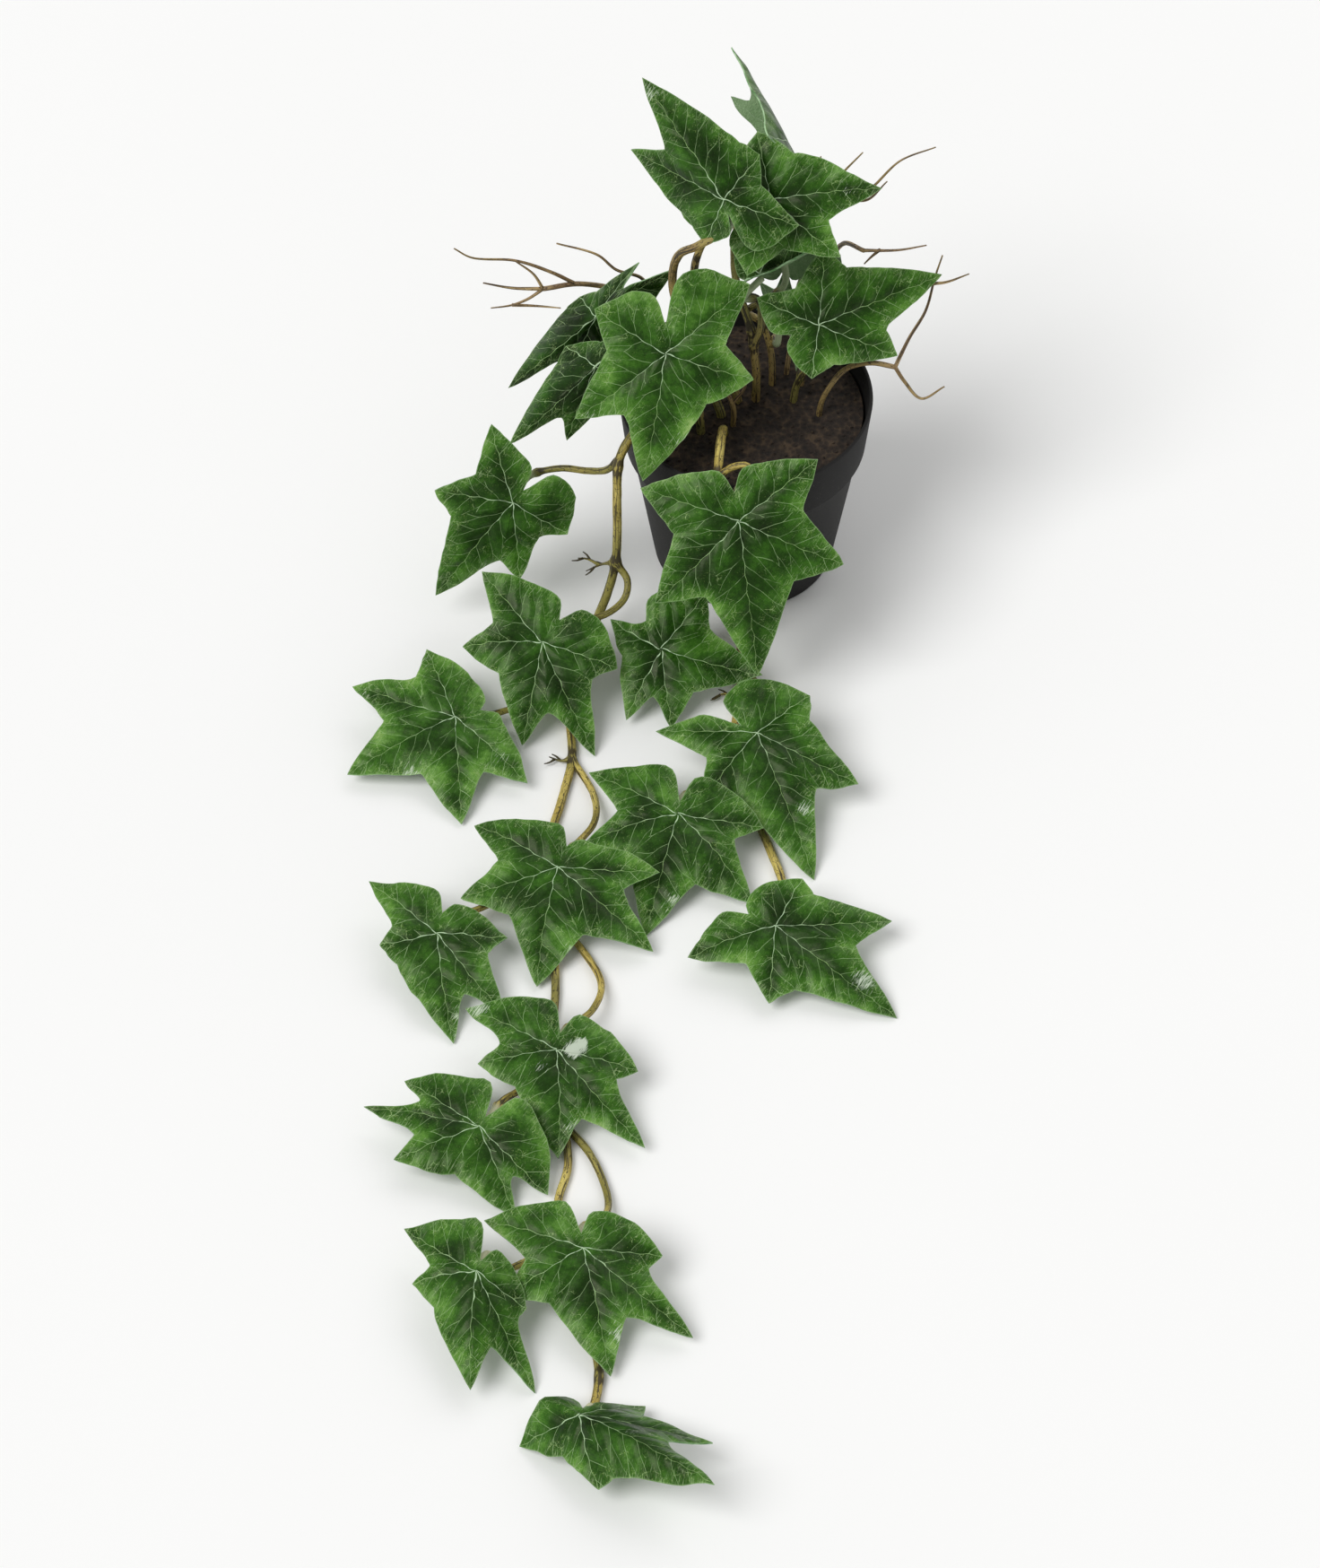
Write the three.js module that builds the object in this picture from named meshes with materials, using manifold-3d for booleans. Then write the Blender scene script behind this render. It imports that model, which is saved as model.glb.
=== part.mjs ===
// Potted trailing ivy, in millimetres. Z is up, the trailing vines run towards -Y.
// The origin is the centre of the pot's flat base, on the surface it stands on.
import * as THREE from 'three';
import Module from 'manifold-3d';

const wasm = await Module();
wasm.setup();

// Pot: outer radii and heights, wall and floor.
const POT_BASE_R = 32.3;
const POT_STEP_R = 40.9;
const POT_BAND_R = 42.9;
const POT_RIM_R = 45;
const POT_STEP_Z = 57;
const POT_HEIGHT = 78;
const POT_EDGE = 1.5;
const POT_WALL = 1.6;
const POT_FLOOR = 2;
const POT_SIDES = 40;

// Soil fill, and the depth to which the stems are planted in it.
const SOIL_TOP = 70;
const SOIL_DOME = 1.6;
const SOIL_SIDES = 28;
const ROOT_END = 58;
const GAP = 0.3;

// Stems: radius of each kind and the length of one straight facet along them.
const VINE_R = 1.4;
const PETIOLE_R = 0.95;
const SOCKET_R = 1.1;
const FACET = 14;

// Leaves: plate thickness, rise of the plane from the floor, droop of the tips at 40 mm.
const LEAF_THICK = 0.8;
const FLOOR_RISE = 14;
const UPRIGHT_RISE = 50;
const DROOP = 3.5;
const FLOOR_CLEAR = 0.2;

// One row per leaf. at: vein junction, with no height where the leaf is seated on the floor by its
// lowest tip. lobes: [bearing, length] of the five lobe tips about the junction, turning from one
// side of the stalk notch to the other. notch: [bearing, depth]. ears: fullness of the last and
// first lobe beside the notch. rise, yaw, roll: attitude in degrees. fold: bend along the middle
// lobe. under: the underside is turned to the front. lift: extra height above the floor.
const LEAVES = {
  leaf_crown: {
    at: [14, 37, 165], rise: 78, yaw: -45, fold: 52, under: true,
    lobes: [[-18, 12], [60, 17], [131, 38], [154, 25], [190, 13]], notch: [308, 5],
  },
  leaf_top_left: {
    at: [-8.5, 5, 169], yaw: -5, fold: 30, ears: [0.75, 0.8],
    lobes: [[-17, 28], [50, 21], [125, 50], [158, 38], [242, 20]], notch: [283, 5],
  },
  leaf_top_right: {
    at: [8, 14, 160], yaw: -5,
    lobes: [[252, 28], [320, 31], [366, 38], [462, 24], [535, 36]], notch: [573, 10], ears: [0.85, 0.8],
  },
  leaf_right: {
    at: [25, 0, 113], yaw: 10,
    lobes: [[-97, 19], [-22, 31], [20, 48], [87, 27], [156, 24]], notch: [199, 10], ears: [0.8, 0.8],
  },
  leaf_folded: {
    at: [4.5, 10.5, 127.5], rise: -12, roll: 24, yaw: 0, fold: -32,
    lobes: [[-105, 14], [-48, 20], [0, 26], [50, 18], [110, 14]], notch: [182, 5],
  },
  leaf_back_high: {
    at: [13, 25, 122], rise: 62, under: true,
    lobes: [[10, 18], [48, 24], [88, 30], [130, 24], [180, 18]], notch: [270, 5],
  },
  leaf_back_low: {
    at: [12.5, 17.6, 101], rise: 62, under: true,
    lobes: [[-10, 8], [38, 10], [85, 16], [125, 14], [170, 9]], notch: [260, 4],
  },
  leaf_right_under: {
    at: [25, 24, 104], rise: 55, under: true,
    lobes: [[200, 10], [255, 28], [309, 30], [356, 20], [420, 16]], notch: [485, 5],
  },
  leaf_left_upper: {
    at: [-53, 8, 109], yaw: -12, fold: 50,
    lobes: [[60, 24], [140, 15], [219, 42], [250, 26], [388, 32]], notch: [408, 14],
  },
  leaf_left_lower: {
    at: [-53, -12, 104.5], yaw: -10, fold: 42,
    lobes: [[40, 15], [150, 18], [222, 42], [252, 32], [335, 12]], notch: [368, 6],
  },
  leaf_front_left: {
    at: [-28.5, -17, 116],
    lobes: [[148, 29], [216, 39], [260, 46], [343, 32], [399, 38]], notch: [450, 10], ears: [0.85, 0.85],
  },
  leaf_front: {
    at: [-3, -57, 74],
    lobes: [[162, 36], [225, 41], [277, 56], [337, 40], [398, 35]], notch: [459, 10],
  },
  leaf_left_hanging: {
    at: [-82.5, -26, 50], rise: 68,
    lobes: [[104, 30], [172, 28], [234, 48], [274, 31], [326, 23]], notch: [412, 6], ears: [0.95, 0.6],
  },
  leaf_trail_01: {
    at: [-72, -71], rise: 34,
    lobes: [[130, 33], [183, 28], [259, 37], [295, 44], [341, 28]], notch: [412, 10], ears: [0.8, 0.6],
  },
  leaf_trail_02: {
    at: [-30, -67], rise: 30, lift: 2,
    lobes: [[149, 21], [244, 28], [277, 28], [346, 37], [412, 26]], notch: [477, 12], ears: [0.85, 0.6],
  },
  leaf_trail_03: {
    at: [-102.5, -95],
    lobes: [[111, 29], [159, 39], [209, 43], [274, 41], [316, 36]], notch: [378, 9], ears: [0.5, 0.55],
  },
  leaf_trail_04: {
    at: [3.5, -108],
    lobes: [[177, 35], [233, 31], [290, 57], [332, 40], [399, 24]], notch: [514, 6], ears: [0.88, 0.7],
  },
  leaf_trail_05: {
    at: [-24.3, -141],
    lobes: [[151, 35], [198, 34], [256, 46], [308, 42], [352, 30]], notch: [443, 5],
  },
  leaf_trail_06: {
    at: [-65.5, -165], lift: 1,
    lobes: [[149, 34], [198, 35], [261, 44], [318, 44], [358, 35]], notch: [429, 8], ears: [0.45, 0.55],
  },
  leaf_trail_07: {
    at: [-106.5, -192],
    lobes: [[139, 31], [191, 20], [279, 40], [308, 38], [357, 24]], notch: [437, 8],
  },
  leaf_trail_08: {
    at: [9, -189],
    lobes: [[200, 32], [265, 28], [322, 52], [365, 40], [422, 20]], notch: [516, 10], ears: [0.8, 0.7],
  },
  leaf_trail_09: {
    at: [-65, -244], lift: 3.2,
    lobes: [[152, 35], [189, 27], [271, 38], [311, 45], [346, 28]], notch: [439, 6],
  },
  leaf_trail_10: {
    at: [-90.5, -274.5], fold: 8,
    lobes: [[143, 32], [166, 40], [202, 30], [292, 33], [316, 32]], notch: [420, 4],
  },
  leaf_trail_11: {
    at: [-55.5, -326], lift: 2.3,
    lobes: [[162, 34], [212, 29], [282, 44], [321, 46], [356, 26]], notch: [457, 5],
  },
  leaf_trail_12: {
    at: [-90, -339], fold: 25,
    lobes: [[143, 33], [182, 23], [268, 39], [300, 43], [331, 21]], notch: [430, 4],
  },
  leaf_trail_13: {
    at: [-56, -391], rise: -8, yaw: -16, fold: 34,
    lobes: [[183, 25], [272, 24], [321, 55], [352, 42], [400, 26]], notch: [440, 5],
  },
};

// Stems that stand in the soil. root: where they are planted. Each limb is [radius, points, leaf]:
// points are its centre line and leaf, where given, is the leaf that its end carries.
const STEMS = {
  stem_crown: {
    root: [3.6, 4, 1.5],
    limbs: [
      [1.5, [[3.6, 4, 73], [3.6, 5, 84], [1.7, 8, 102]]],
      [1.05, [[1.7, 8, 102], [-4, 19, 118], [-3, 27, 136], [5, 33, 148]], 'leaf_crown'],
      [0.95, [[2.5, 6.5, 96], [5, 6, 107], [3.5, 9, 117]], 'leaf_folded'],
    ],
  },
  stem_middle: {
    root: [9.5, 12, 1.2],
    limbs: [
      [1.2, [[9.5, 12, 73], [9, 16, 82], [6, 22, 92]]],
      [0.95, [[6, 22, 92], [0, 20, 99], [2, 14, 108]], 'leaf_back_high'],
      [0.9, [[8.6, 17.5, 84.5], [10, 17.2, 89]], 'leaf_back_low'],
    ],
  },
  stem_right: {
    root: [17, 3, 1.3],
    limbs: [
      [1.3, [[17, 3, 73], [18, 3, 80], [22, 2, 91]]],
      [0.95, [[22, 2, 91], [23.5, 1, 98]], 'leaf_right'],
      [0.9, [[19, 3, 84], [20, 10, 93]], 'leaf_right_under'],
    ],
  },
  stem_top_left: {
    root: [-9, -4, 1.2],
    limbs: [
      [1.2, [
        [-9, -4, 73], [-14, 1, 84], [-22, 8, 104], [-26, 11, 122], [-24, 9, 138], [-17, 4, 148],
      ], 'leaf_top_left'],
    ],
  },
  stem_top_right: {
    root: [-3, 3, 1.1],
    limbs: [
      [1.1, [
        [-3, 3, 73], [-8, 7, 84], [-17, 14, 108], [-18, 16, 128], [-12, 18, 142], [-5, 18, 149],
      ], 'leaf_top_right'],
    ],
  },
  stem_left: {
    root: [-14, 7, 1.2],
    limbs: [
      [1.2, [[-14, 7, 73], [-20, 7, 82], [-32, 8, 96]]],
      [0.95, [[-32, 8, 96], [-38, 17, 101]], 'leaf_left_upper'],
      [0.95, [[-26, 7.5, 89], [-34, 2.5, 92], [-42, -3.6, 96]], 'leaf_left_lower'],
    ],
  },
  stem_front_left: {
    root: [-16, -12, 1.1],
    limbs: [
      [1.1, [[-16, -12, 73], [-17, -9, 82], [-20, -4, 97], [-24, -2, 109]], 'leaf_front_left'],
    ],
  },
  twig_right_high: {
    root: [14.7, 17, 0.9],
    limbs: [
      [0.9, [[14.7, 17, 73], [18, 27, 90], [22, 38, 118], [24, 35, 138], [26.5, 25, 150]]],
      [0.6, [[26.5, 25, 150], [23.6, 25, 159], [25, 26, 169]]],
      [0.6, [[26.5, 25, 150], [32, 26, 160], [39.5, 28, 169]]],
      [0.6, [[26.5, 25, 150], [36, 25, 150.5], [42.3, 25, 154.5], [52.5, 27, 166], [64.5, 28, 171.5]]],
      [0.6, [[33, 25, 150.2], [41, 23, 151], [48, 23, 160]]],
    ],
  },
  twig_right_mid: {
    root: [20, 12, 0.9],
    limbs: [
      [0.9, [[20, 12, 73], [24, 24, 86], [30, 37, 106], [34, 31, 122], [40.5, 17, 132.5]]],
      [0.6, [[40.5, 17, 132.5], [52.5, 15, 134.7], [62, 13, 139]]],
      [0.6, [[46, 16, 133.8], [43, 18, 128], [41, 19, 124]]],
    ],
  },
  twig_right_low: {
    root: [26, -3, 1],
    limbs: [
      [1, [[26, -3, 73], [28, -3, 82], [35, -1, 92], [44, -3, 97], [52, -4, 96]]],
      [0.7, [[52, -4, 96], [55, -7, 92.5], [61, -12, 88.5], [69, -13, 95.5]]],
      [0.7, [[52, -4, 96], [57, 6, 100], [63, 15, 105], [66, 21, 115], [68.2, 20, 127]]],
      [0.6, [[65.6, 20.2, 113], [70, 17, 117], [77.5, 15, 123]]],
    ],
  },
  twig_left: {
    root: [-20, 15, 1],
    limbs: [
      [1, [[-20, 15, 73], [-27, 22, 82], [-41, 30, 97], [-58, 29, 104], [-71.6, 26, 104.5]]],
      [0.7, [[-71.6, 26, 104.5], [-82.6, 24, 107], [-92.5, 22, 111.5]]],
      [0.7, [[-60, 28.7, 104.2], [-69, 27, 112], [-81, 26, 118.5], [-96.3, 24, 122], [-102.4, 24, 126.5]]],
      [0.6, [[-71.6, 26, 104.5], [-75, 26, 112], [-81.5, 26, 118.6]]],
      [0.6, [[-71.6, 26, 104.5], [-77, 24, 101.5], [-82.6, 22, 100.5], [-90, 20, 101]]],
      [0.6, [[-82.6, 22, 100.5], [-74, 23, 99], [-65.5, 23, 98]]],
      [0.8, [
        [-31, 24.5, 87], [-34, 27, 100], [-37, 25, 111], [-45.7, 24, 116], [-52.5, 24, 123.5],
        [-66.5, 24, 129],
      ]],
    ],
  },
  twig_centre: {
    root: [-4.5, -9, 1],
    limbs: [
      [1, [[-4.5, -9, 73], [-4.5, -9, 80], [-6, -9, 86]]],
      [0.7, [[-6, -9, 86], [-10, -9, 93], [-11, -10, 99]]],
      [0.7, [[-5, -9, 82.5], [-1, -9, 90], [0, -9, 97]]],
    ],
  },
};

// Vines that go over the rim, down the outside and along the floor. Knuckles are [point, radius].
const VINES = {
  trail_vine_left: {
    root: [-17, -7, VINE_R],
    limbs: [
      [VINE_R, [
        [-17, -7, 73], [-21, -10, 80], [-31, -17, 85.5], [-39, -21.5, 81.6], [-44.5, -28, 75],
        [-45.5, -34, 62], [-45.5, -38, 47], [-46.2, -41, 35], [-49, -45.5, 24], [-54, -51, 12],
        [-58, -59, 3.6], [-61, -69, 1.6], [-62.2, -86, 1.6], [-61.4, -104, 1.6], [-65, -124, 1.6],
        [-69, -143, 1.6], [-68, -174, 1.6], [-66, -207, 1.6], [-67.5, -235, 1.6], [-63.2, -260, 1.6],
        [-61, -281, 1.6], [-64, -295, 1.6], [-64.8, -314, 1.6],
      ]],
      [1.2, [
        [-64.8, -314, 1.6], [-59, -337, 1.6], [-50.5, -360, 1.8], [-51, -374, 2], [-54.5, -387, 5],
      ], 'leaf_trail_13'],
      [PETIOLE_R, [[-44.5, -28, 75], [-49, -26, 67], [-56, -21, 61], [-66, -17, 58]], 'leaf_left_hanging'],
      [PETIOLE_R, [[-46.2, -41, 35], [-42, -46, 31], [-43, -51, 27], [-50, -57, 25]], 'leaf_trail_01'],
      [PETIOLE_R, [[-60.8, -71, 1.6], [-71, -79, 2.5], [-81, -84, 6]], 'leaf_trail_03'],
      [PETIOLE_R, [[-61.4, -104, 1.6], [-53.5, -122, 3], [-53.5, -139, 8]], 'leaf_trail_06'],
      [PETIOLE_R, [[-69, -143, 1.6], [-82, -164, 2.5], [-93, -177, 8]], 'leaf_trail_07'],
      [PETIOLE_R, [[-68, -174, 1.6], [-57, -190, 1.8], [-50.5, -205, 3], [-53.5, -221, 8]], 'leaf_trail_09'],
      [PETIOLE_R, [[-67.5, -235, 1.6], [-75.5, -249, 3], [-83, -259, 8]], 'leaf_trail_10'],
      [PETIOLE_R, [[-62.3, -264, 1.6], [-53, -278, 1.8], [-47.5, -297, 3], [-50, -309, 9]], 'leaf_trail_11'],
      [PETIOLE_R, [[-64.8, -314, 1.6], [-74.5, -322, 4], [-82, -328, 8]], 'leaf_trail_12'],
      [0.5, [[-46.2, -41, 35], [-51, -41, 34], [-56.6, -42, 31.5]]],
      [0.5, [[-52, -41, 33.6], [-56, -39, 34.5], [-59.5, -39, 35]]],
      [0.5, [[-61.4, -104, 1.6], [-65.4, -105, 1.8], [-69.4, -103, 1.6]]],
      [0.5, [[-69, -143, 1.6], [-64, -146, 1.8], [-60, -146, 1.6]]],
      [0.5, [[-64.8, -314, 1.6], [-60, -317, 1.8], [-55.5, -316, 1.6]]],
    ],
    knuckles: [
      [[-44.9, -29.5, 72], 1.7], [[-46.2, -41, 35], 2.1], [[-61.4, -104, 1.9], 1.7],
      [[-69, -143, 1.9], 1.7], [[-68, -174, 1.8], 1.6], [[-67.5, -235, 1.8], 1.6],
      [[-64.8, -314, 1.9], 1.7], [[-50.7, -366, 2], 1.7],
    ],
  },
  trail_vine_front: {
    root: [-8, -13, VINE_R],
    limbs: [
      [VINE_R, [
        [-8, -13, 73], [-8.5, -20, 80], [-9.5, -33, 85], [-10.2, -43.5, 82], [-9.5, -48, 75],
        [-8.4, -48.5, 67], [-6, -46, 50], [-3, -43.5, 30], [-1.5, -44, 14], [-1.5, -50, 4],
        [-1.8, -60, 1.6], [-2, -72, 1.6], [-4, -89, 1.6], [-5, -101, 1.6],
      ]],
      [1.2, [[-5, -101, 1.6], [-11, -114, 2], [-17, -124, 8]], 'leaf_trail_05'],
      [1.2, [
        [-5, -101, 1.6], [1, -124, 1.6], [8, -146, 1.6], [12, -161, 1.8], [11, -173, 7],
      ], 'leaf_trail_08'],
      [PETIOLE_R, [[-10.2, -43.5, 82], [-5, -42.5, 86], [0, -43, 87], [1, -45.5, 83]], 'leaf_front'],
      [PETIOLE_R, [[-4, -44.2, 36], [-10, -43, 28], [-18, -46, 22], [-26, -51, 17]], 'leaf_trail_02'],
      [PETIOLE_R, [[-1.8, -60, 1.6], [5, -71, 2.5], [11.5, -82, 4], [12.5, -91, 8]], 'leaf_trail_04'],
      [0.5, [[-2.6, -76, 1.6], [-8, -74, 1.8], [-12, -76, 1.6]]],
    ],
    knuckles: [
      [[-10.2, -43.5, 82], 2], [[-4, -44.2, 36], 1.7], [[-1.8, -60, 1.9], 1.7], [[-5, -101, 1.9], 1.7],
    ],
  },
};

const PLASTIC = new THREE.MeshStandardMaterial({ color: 0x2b2928, roughness: 0.75, metalness: 0 });
const SOIL = new THREE.MeshStandardMaterial({ color: 0x33261b, roughness: 0.95, metalness: 0 });
const LEAF = new THREE.MeshStandardMaterial({ color: 0x3f7a35, roughness: 0.5, metalness: 0 });
const VINE = new THREE.MeshStandardMaterial({ color: 0x96803f, roughness: 0.65, metalness: 0 });
const BARK = new THREE.MeshStandardMaterial({ color: 0x5d4b35, roughness: 0.7, metalness: 0 });

const rad = (degrees) => (degrees * Math.PI) / 180;
const vec = (p) => new THREE.Vector3(p[0], p[1], p[2]);
const polar = ([bearing, length]) => new THREE.Vector2(
  length * Math.cos(rad(bearing)),
  length * Math.sin(rad(bearing)),
);

function toManifold(geometry) {
  const seen = new Map();
  const vertices = [];
  const triangles = [];
  const position = geometry.attributes.position;
  const index = geometry.index ? geometry.index.array : [...Array(position.count).keys()];
  for (const i of index) {
    const p = [position.getX(i), position.getY(i), position.getZ(i)];
    const key = p.map((c) => Math.round(c * 1e4)).join();
    if (!seen.has(key)) {
      seen.set(key, vertices.length / 3);
      vertices.push(...p);
    }
    triangles.push(seen.get(key));
  }
  const kept = [];
  for (let t = 0; t < triangles.length; t += 3) {
    const [a, b, c] = triangles.slice(t, t + 3);
    if (a !== b && b !== c && c !== a) {
      kept.push(a, b, c);
    }
  }
  return new wasm.Manifold(new wasm.Mesh({
    numProp: 3,
    vertProperties: new Float32Array(vertices),
    triVerts: new Uint32Array(kept),
  }));
}

function toMesh(solid, name, material) {
  const data = solid.getMesh();
  const geometry = new THREE.BufferGeometry();
  geometry.setAttribute('position', new THREE.BufferAttribute(new Float32Array(data.vertProperties), 3));
  geometry.setIndex(new THREE.BufferAttribute(new Uint32Array(data.triVerts), 1));
  geometry.computeVertexNormals();
  const mesh = new THREE.Mesh(geometry, material.clone());
  mesh.name = name;
  return mesh;
}

function union(solids) {
  return solids.reduce((whole, solid) => whole.add(solid));
}

// A solid turned about Z from its half section, whose first and last points lie on the axis.
function turned(section, sides) {
  const geometry = new THREE.LatheGeometry(section.map(([r, z]) => new THREE.Vector2(r, z)), sides);
  geometry.rotateX(Math.PI / 2);
  return toManifold(geometry);
}

function pot() {
  const inStep = POT_STEP_Z + POT_WALL;
  const section = [
    [0, 0],
    [POT_BASE_R - POT_EDGE, 0],
    [POT_BASE_R + 0.1, POT_EDGE],
    [POT_STEP_R, POT_STEP_Z],
    [POT_BAND_R, POT_STEP_Z],
    [POT_RIM_R, POT_HEIGHT],
    [POT_RIM_R - POT_WALL, POT_HEIGHT],
    [POT_BAND_R - POT_WALL, inStep],
    [POT_STEP_R - POT_WALL, inStep],
    [POT_BASE_R - POT_WALL, POT_FLOOR],
    [0, POT_FLOOR],
  ];
  return toMesh(turned(section, POT_SIDES), 'pot', PLASTIC);
}

function planted() {
  return [...Object.values(VINES), ...Object.values(STEMS)].map((stem) => stem.root);
}

function soil() {
  const inset = POT_WALL + GAP + 0.2;
  const slope = (POT_STEP_R - POT_BASE_R) / POT_STEP_Z;
  const bottom = POT_FLOOR + GAP;
  const shelf = POT_STEP_Z + POT_WALL + GAP;
  const section = [
    [0, bottom],
    [POT_BASE_R - inset + bottom * slope, bottom],
    [POT_STEP_R - inset, shelf],
    [POT_BAND_R - inset, shelf],
    [POT_BAND_R - inset + 0.9, SOIL_TOP],
    [24, SOIL_TOP + SOIL_DOME * 0.7],
    [0, SOIL_TOP + SOIL_DOME],
  ];
  const sockets = planted().map(([x, y, r]) => {
    const hole = new THREE.CylinderGeometry(r + GAP + 0.1, r + GAP + 0.1, 20, 8);
    hole.rotateX(Math.PI / 2);
    hole.translate(x, y, ROOT_END - GAP + 10);
    return toManifold(hole);
  });
  return toMesh(turned(section, SOIL_SIDES).subtract(union(sockets)), 'soil_fill', SOIL);
}

// The outline from a lobe's tip to the sinus beside it: full near the tip, hollow near the sinus.
function lobeSide(tip, sinus, side) {
  const reach = tip.distanceTo(sinus);
  const along = sinus.clone().sub(tip);
  const radial = sinus.clone().normalize();
  const outward = new THREE.Vector2(-tip.y, tip.x).normalize().multiplyScalar(side);
  const tangent = new THREE.Vector2(-radial.y, radial.x).multiplyScalar(-side);
  const first = tip.clone().addScaledVector(along, 0.35).addScaledVector(outward, reach * 0.05);
  const second = sinus.clone().addScaledVector(tangent, reach * 0.28);
  return new THREE.CubicBezierCurve(tip, first, second, sinus);
}

function sinusBetween(a, b) {
  const turn = b[0] - a[0];
  const depth = Math.max(0.55, 1 - 0.0062 * turn);
  return polar([a[0] + (turn * a[1]) / (a[1] + b[1]), ((a[1] + b[1]) / 2) * depth]);
}

// The rounded edge from a basal lobe's tip to the stalk notch, as points that leave out the notch.
function ear(tip, notch, fullness) {
  const steps = [[0, 1], [0.22, (0.96 + fullness) / 2], [0.5, fullness], [0.8, fullness * 0.84]];
  return steps.map(([f, g]) => polar([tip[0] + (notch[0] - tip[0]) * f, Math.max(tip[1] * g, notch[1])]));
}

function outline(leaf) {
  const { lobes, notch } = leaf;
  const ears = leaf.ears ?? [0.62, 0.62];
  const points = [];
  for (let i = 0; i < 4; i += 1) {
    const a = lobes[i];
    const b = lobes[i + 1];
    const sinus = sinusBetween(a, b);
    const down = lobeSide(polar(a), sinus, 1);
    const up = lobeSide(polar(b), sinus, -1);
    points.push(down.getPoint(0), down.getPoint(0.36), down.getPoint(0.7));
    points.push(sinus, up.getPoint(0.7), up.getPoint(0.36));
  }
  const before = ear(lobes[4], notch, ears[0]);
  const after = ear([lobes[0][0] + 360, lobes[0][1]], notch, ears[1]).slice(1).reverse();
  return [...points, ...before, polar(notch), ...after];
}

// The attitude of a leaf: u and v lie in its plane, n is the way its upper face looks.
function attitude(leaf) {
  const rise = rad(leaf.rise ?? (leaf.at.length === 2 ? FLOOR_RISE : UPRIGHT_RISE));
  const yaw = rad(leaf.yaw ?? 0);
  const front = new THREE.Vector3(0, -Math.SQRT1_2, Math.SQRT1_2);
  const v = new THREE.Vector3(0, Math.cos(rise), Math.sin(rise));
  const face = new THREE.Vector3(0, -Math.sin(rise), Math.cos(rise));
  const u = new THREE.Vector3(Math.cos(yaw), 0, 0).addScaledVector(face, -Math.sin(yaw));
  const n = new THREE.Vector3(Math.sin(yaw), 0, 0).addScaledVector(face, Math.cos(yaw));
  for (const axis of [u, v, n]) {
    axis.applyAxisAngle(front, rad(leaf.roll ?? 0));
  }
  return { u, v, n: leaf.under ? n.negate() : n };
}

// A point of the leaf's middle surface, from its place in the flat outline.
function surface(leaf, frame, p) {
  const middle = polar([leaf.lobes[2][0], 1]);
  const fold = rad(leaf.fold ?? 0);
  const along = p.dot(middle);
  const across = middle.x * p.y - middle.y * p.x;
  const kept = across * Math.cos(fold);
  const x = along * middle.x - kept * middle.y;
  const y = along * middle.y + kept * middle.x;
  const droop = DROOP * (p.length() / 40) ** 2;
  const w = -Math.abs(across) * Math.sin(fold) - droop;
  const point = new THREE.Vector3().addScaledVector(frame.u, x).addScaledVector(frame.v, y);
  return point.addScaledVector(frame.n, w);
}

// Where the leaf's vein junction stands: a leaf on the floor is let down onto its lowest tip.
function junction(leaf) {
  if (leaf.at.length === 3) {
    return vec(leaf.at);
  }
  const frame = attitude(leaf);
  const low = Math.min(...outline(leaf).map((p) => surface(leaf, frame, p).z));
  return new THREE.Vector3(leaf.at[0], leaf.at[1], FLOOR_CLEAR + LEAF_THICK / 2 - low + (leaf.lift ?? 0));
}

function leafBlade(name) {
  const leaf = LEAVES[name];
  const frame = attitude(leaf);
  const home = junction(leaf);
  const edge = outline(leaf);
  const count = edge.length;
  const rings = [0.5, 1];
  const vertices = [];
  for (const face of [0.5, -0.5]) {
    const flat = [new THREE.Vector2(0, 0)];
    for (const ring of rings) {
      flat.push(...edge.map((p) => p.clone().multiplyScalar(ring)));
    }
    for (const p of flat) {
      const point = surface(leaf, frame, p).add(home).addScaledVector(frame.n, face * LEAF_THICK);
      vertices.push(point.x, point.y, point.z);
    }
  }
  const perFace = 1 + count * rings.length;
  const faces = [];
  for (let i = 0; i < count; i += 1) {
    const j = (i + 1) % count;
    const inner = [1 + i, 1 + j];
    const outer = [1 + count + i, 1 + count + j];
    const top = [[0, inner[0], inner[1]], [inner[0], outer[0], outer[1]], [inner[0], outer[1], inner[1]]];
    for (const [a, b, c] of top) {
      faces.push([a, b, c], [a + perFace, c + perFace, b + perFace]);
    }
    faces.push([outer[0], outer[0] + perFace, outer[1] + perFace]);
    faces.push([outer[0], outer[1] + perFace, outer[1]]);
  }
  const geometry = new THREE.BufferGeometry();
  geometry.setAttribute('position', new THREE.BufferAttribute(new Float32Array(vertices), 3));
  geometry.setIndex(faces.flatMap(([a, b, c]) => (leaf.under ? [a, c, b] : [a, b, c])));
  return toMesh(toManifold(geometry), name, LEAF);
}

// The ball end of a leaf stalk, just clear of the leaf's underside, and the way into it.
function stalkEnd(name) {
  const leaf = LEAVES[name];
  const frame = attitude(leaf);
  const depth = (SOCKET_R + LEAF_THICK / 2 + GAP) / Math.cos(rad(Math.max(0, leaf.fold ?? 0)));
  const end = junction(leaf).addScaledVector(frame.n, -depth);
  const away = polar([leaf.notch[0], 1]);
  const lead = end.clone()
    .addScaledVector(frame.u, away.x * 9)
    .addScaledVector(frame.v, away.y * 9)
    .addScaledVector(frame.n, -4.5);
  lead.z = Math.max(lead.z, 1.8);
  return { end, lead };
}

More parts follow.
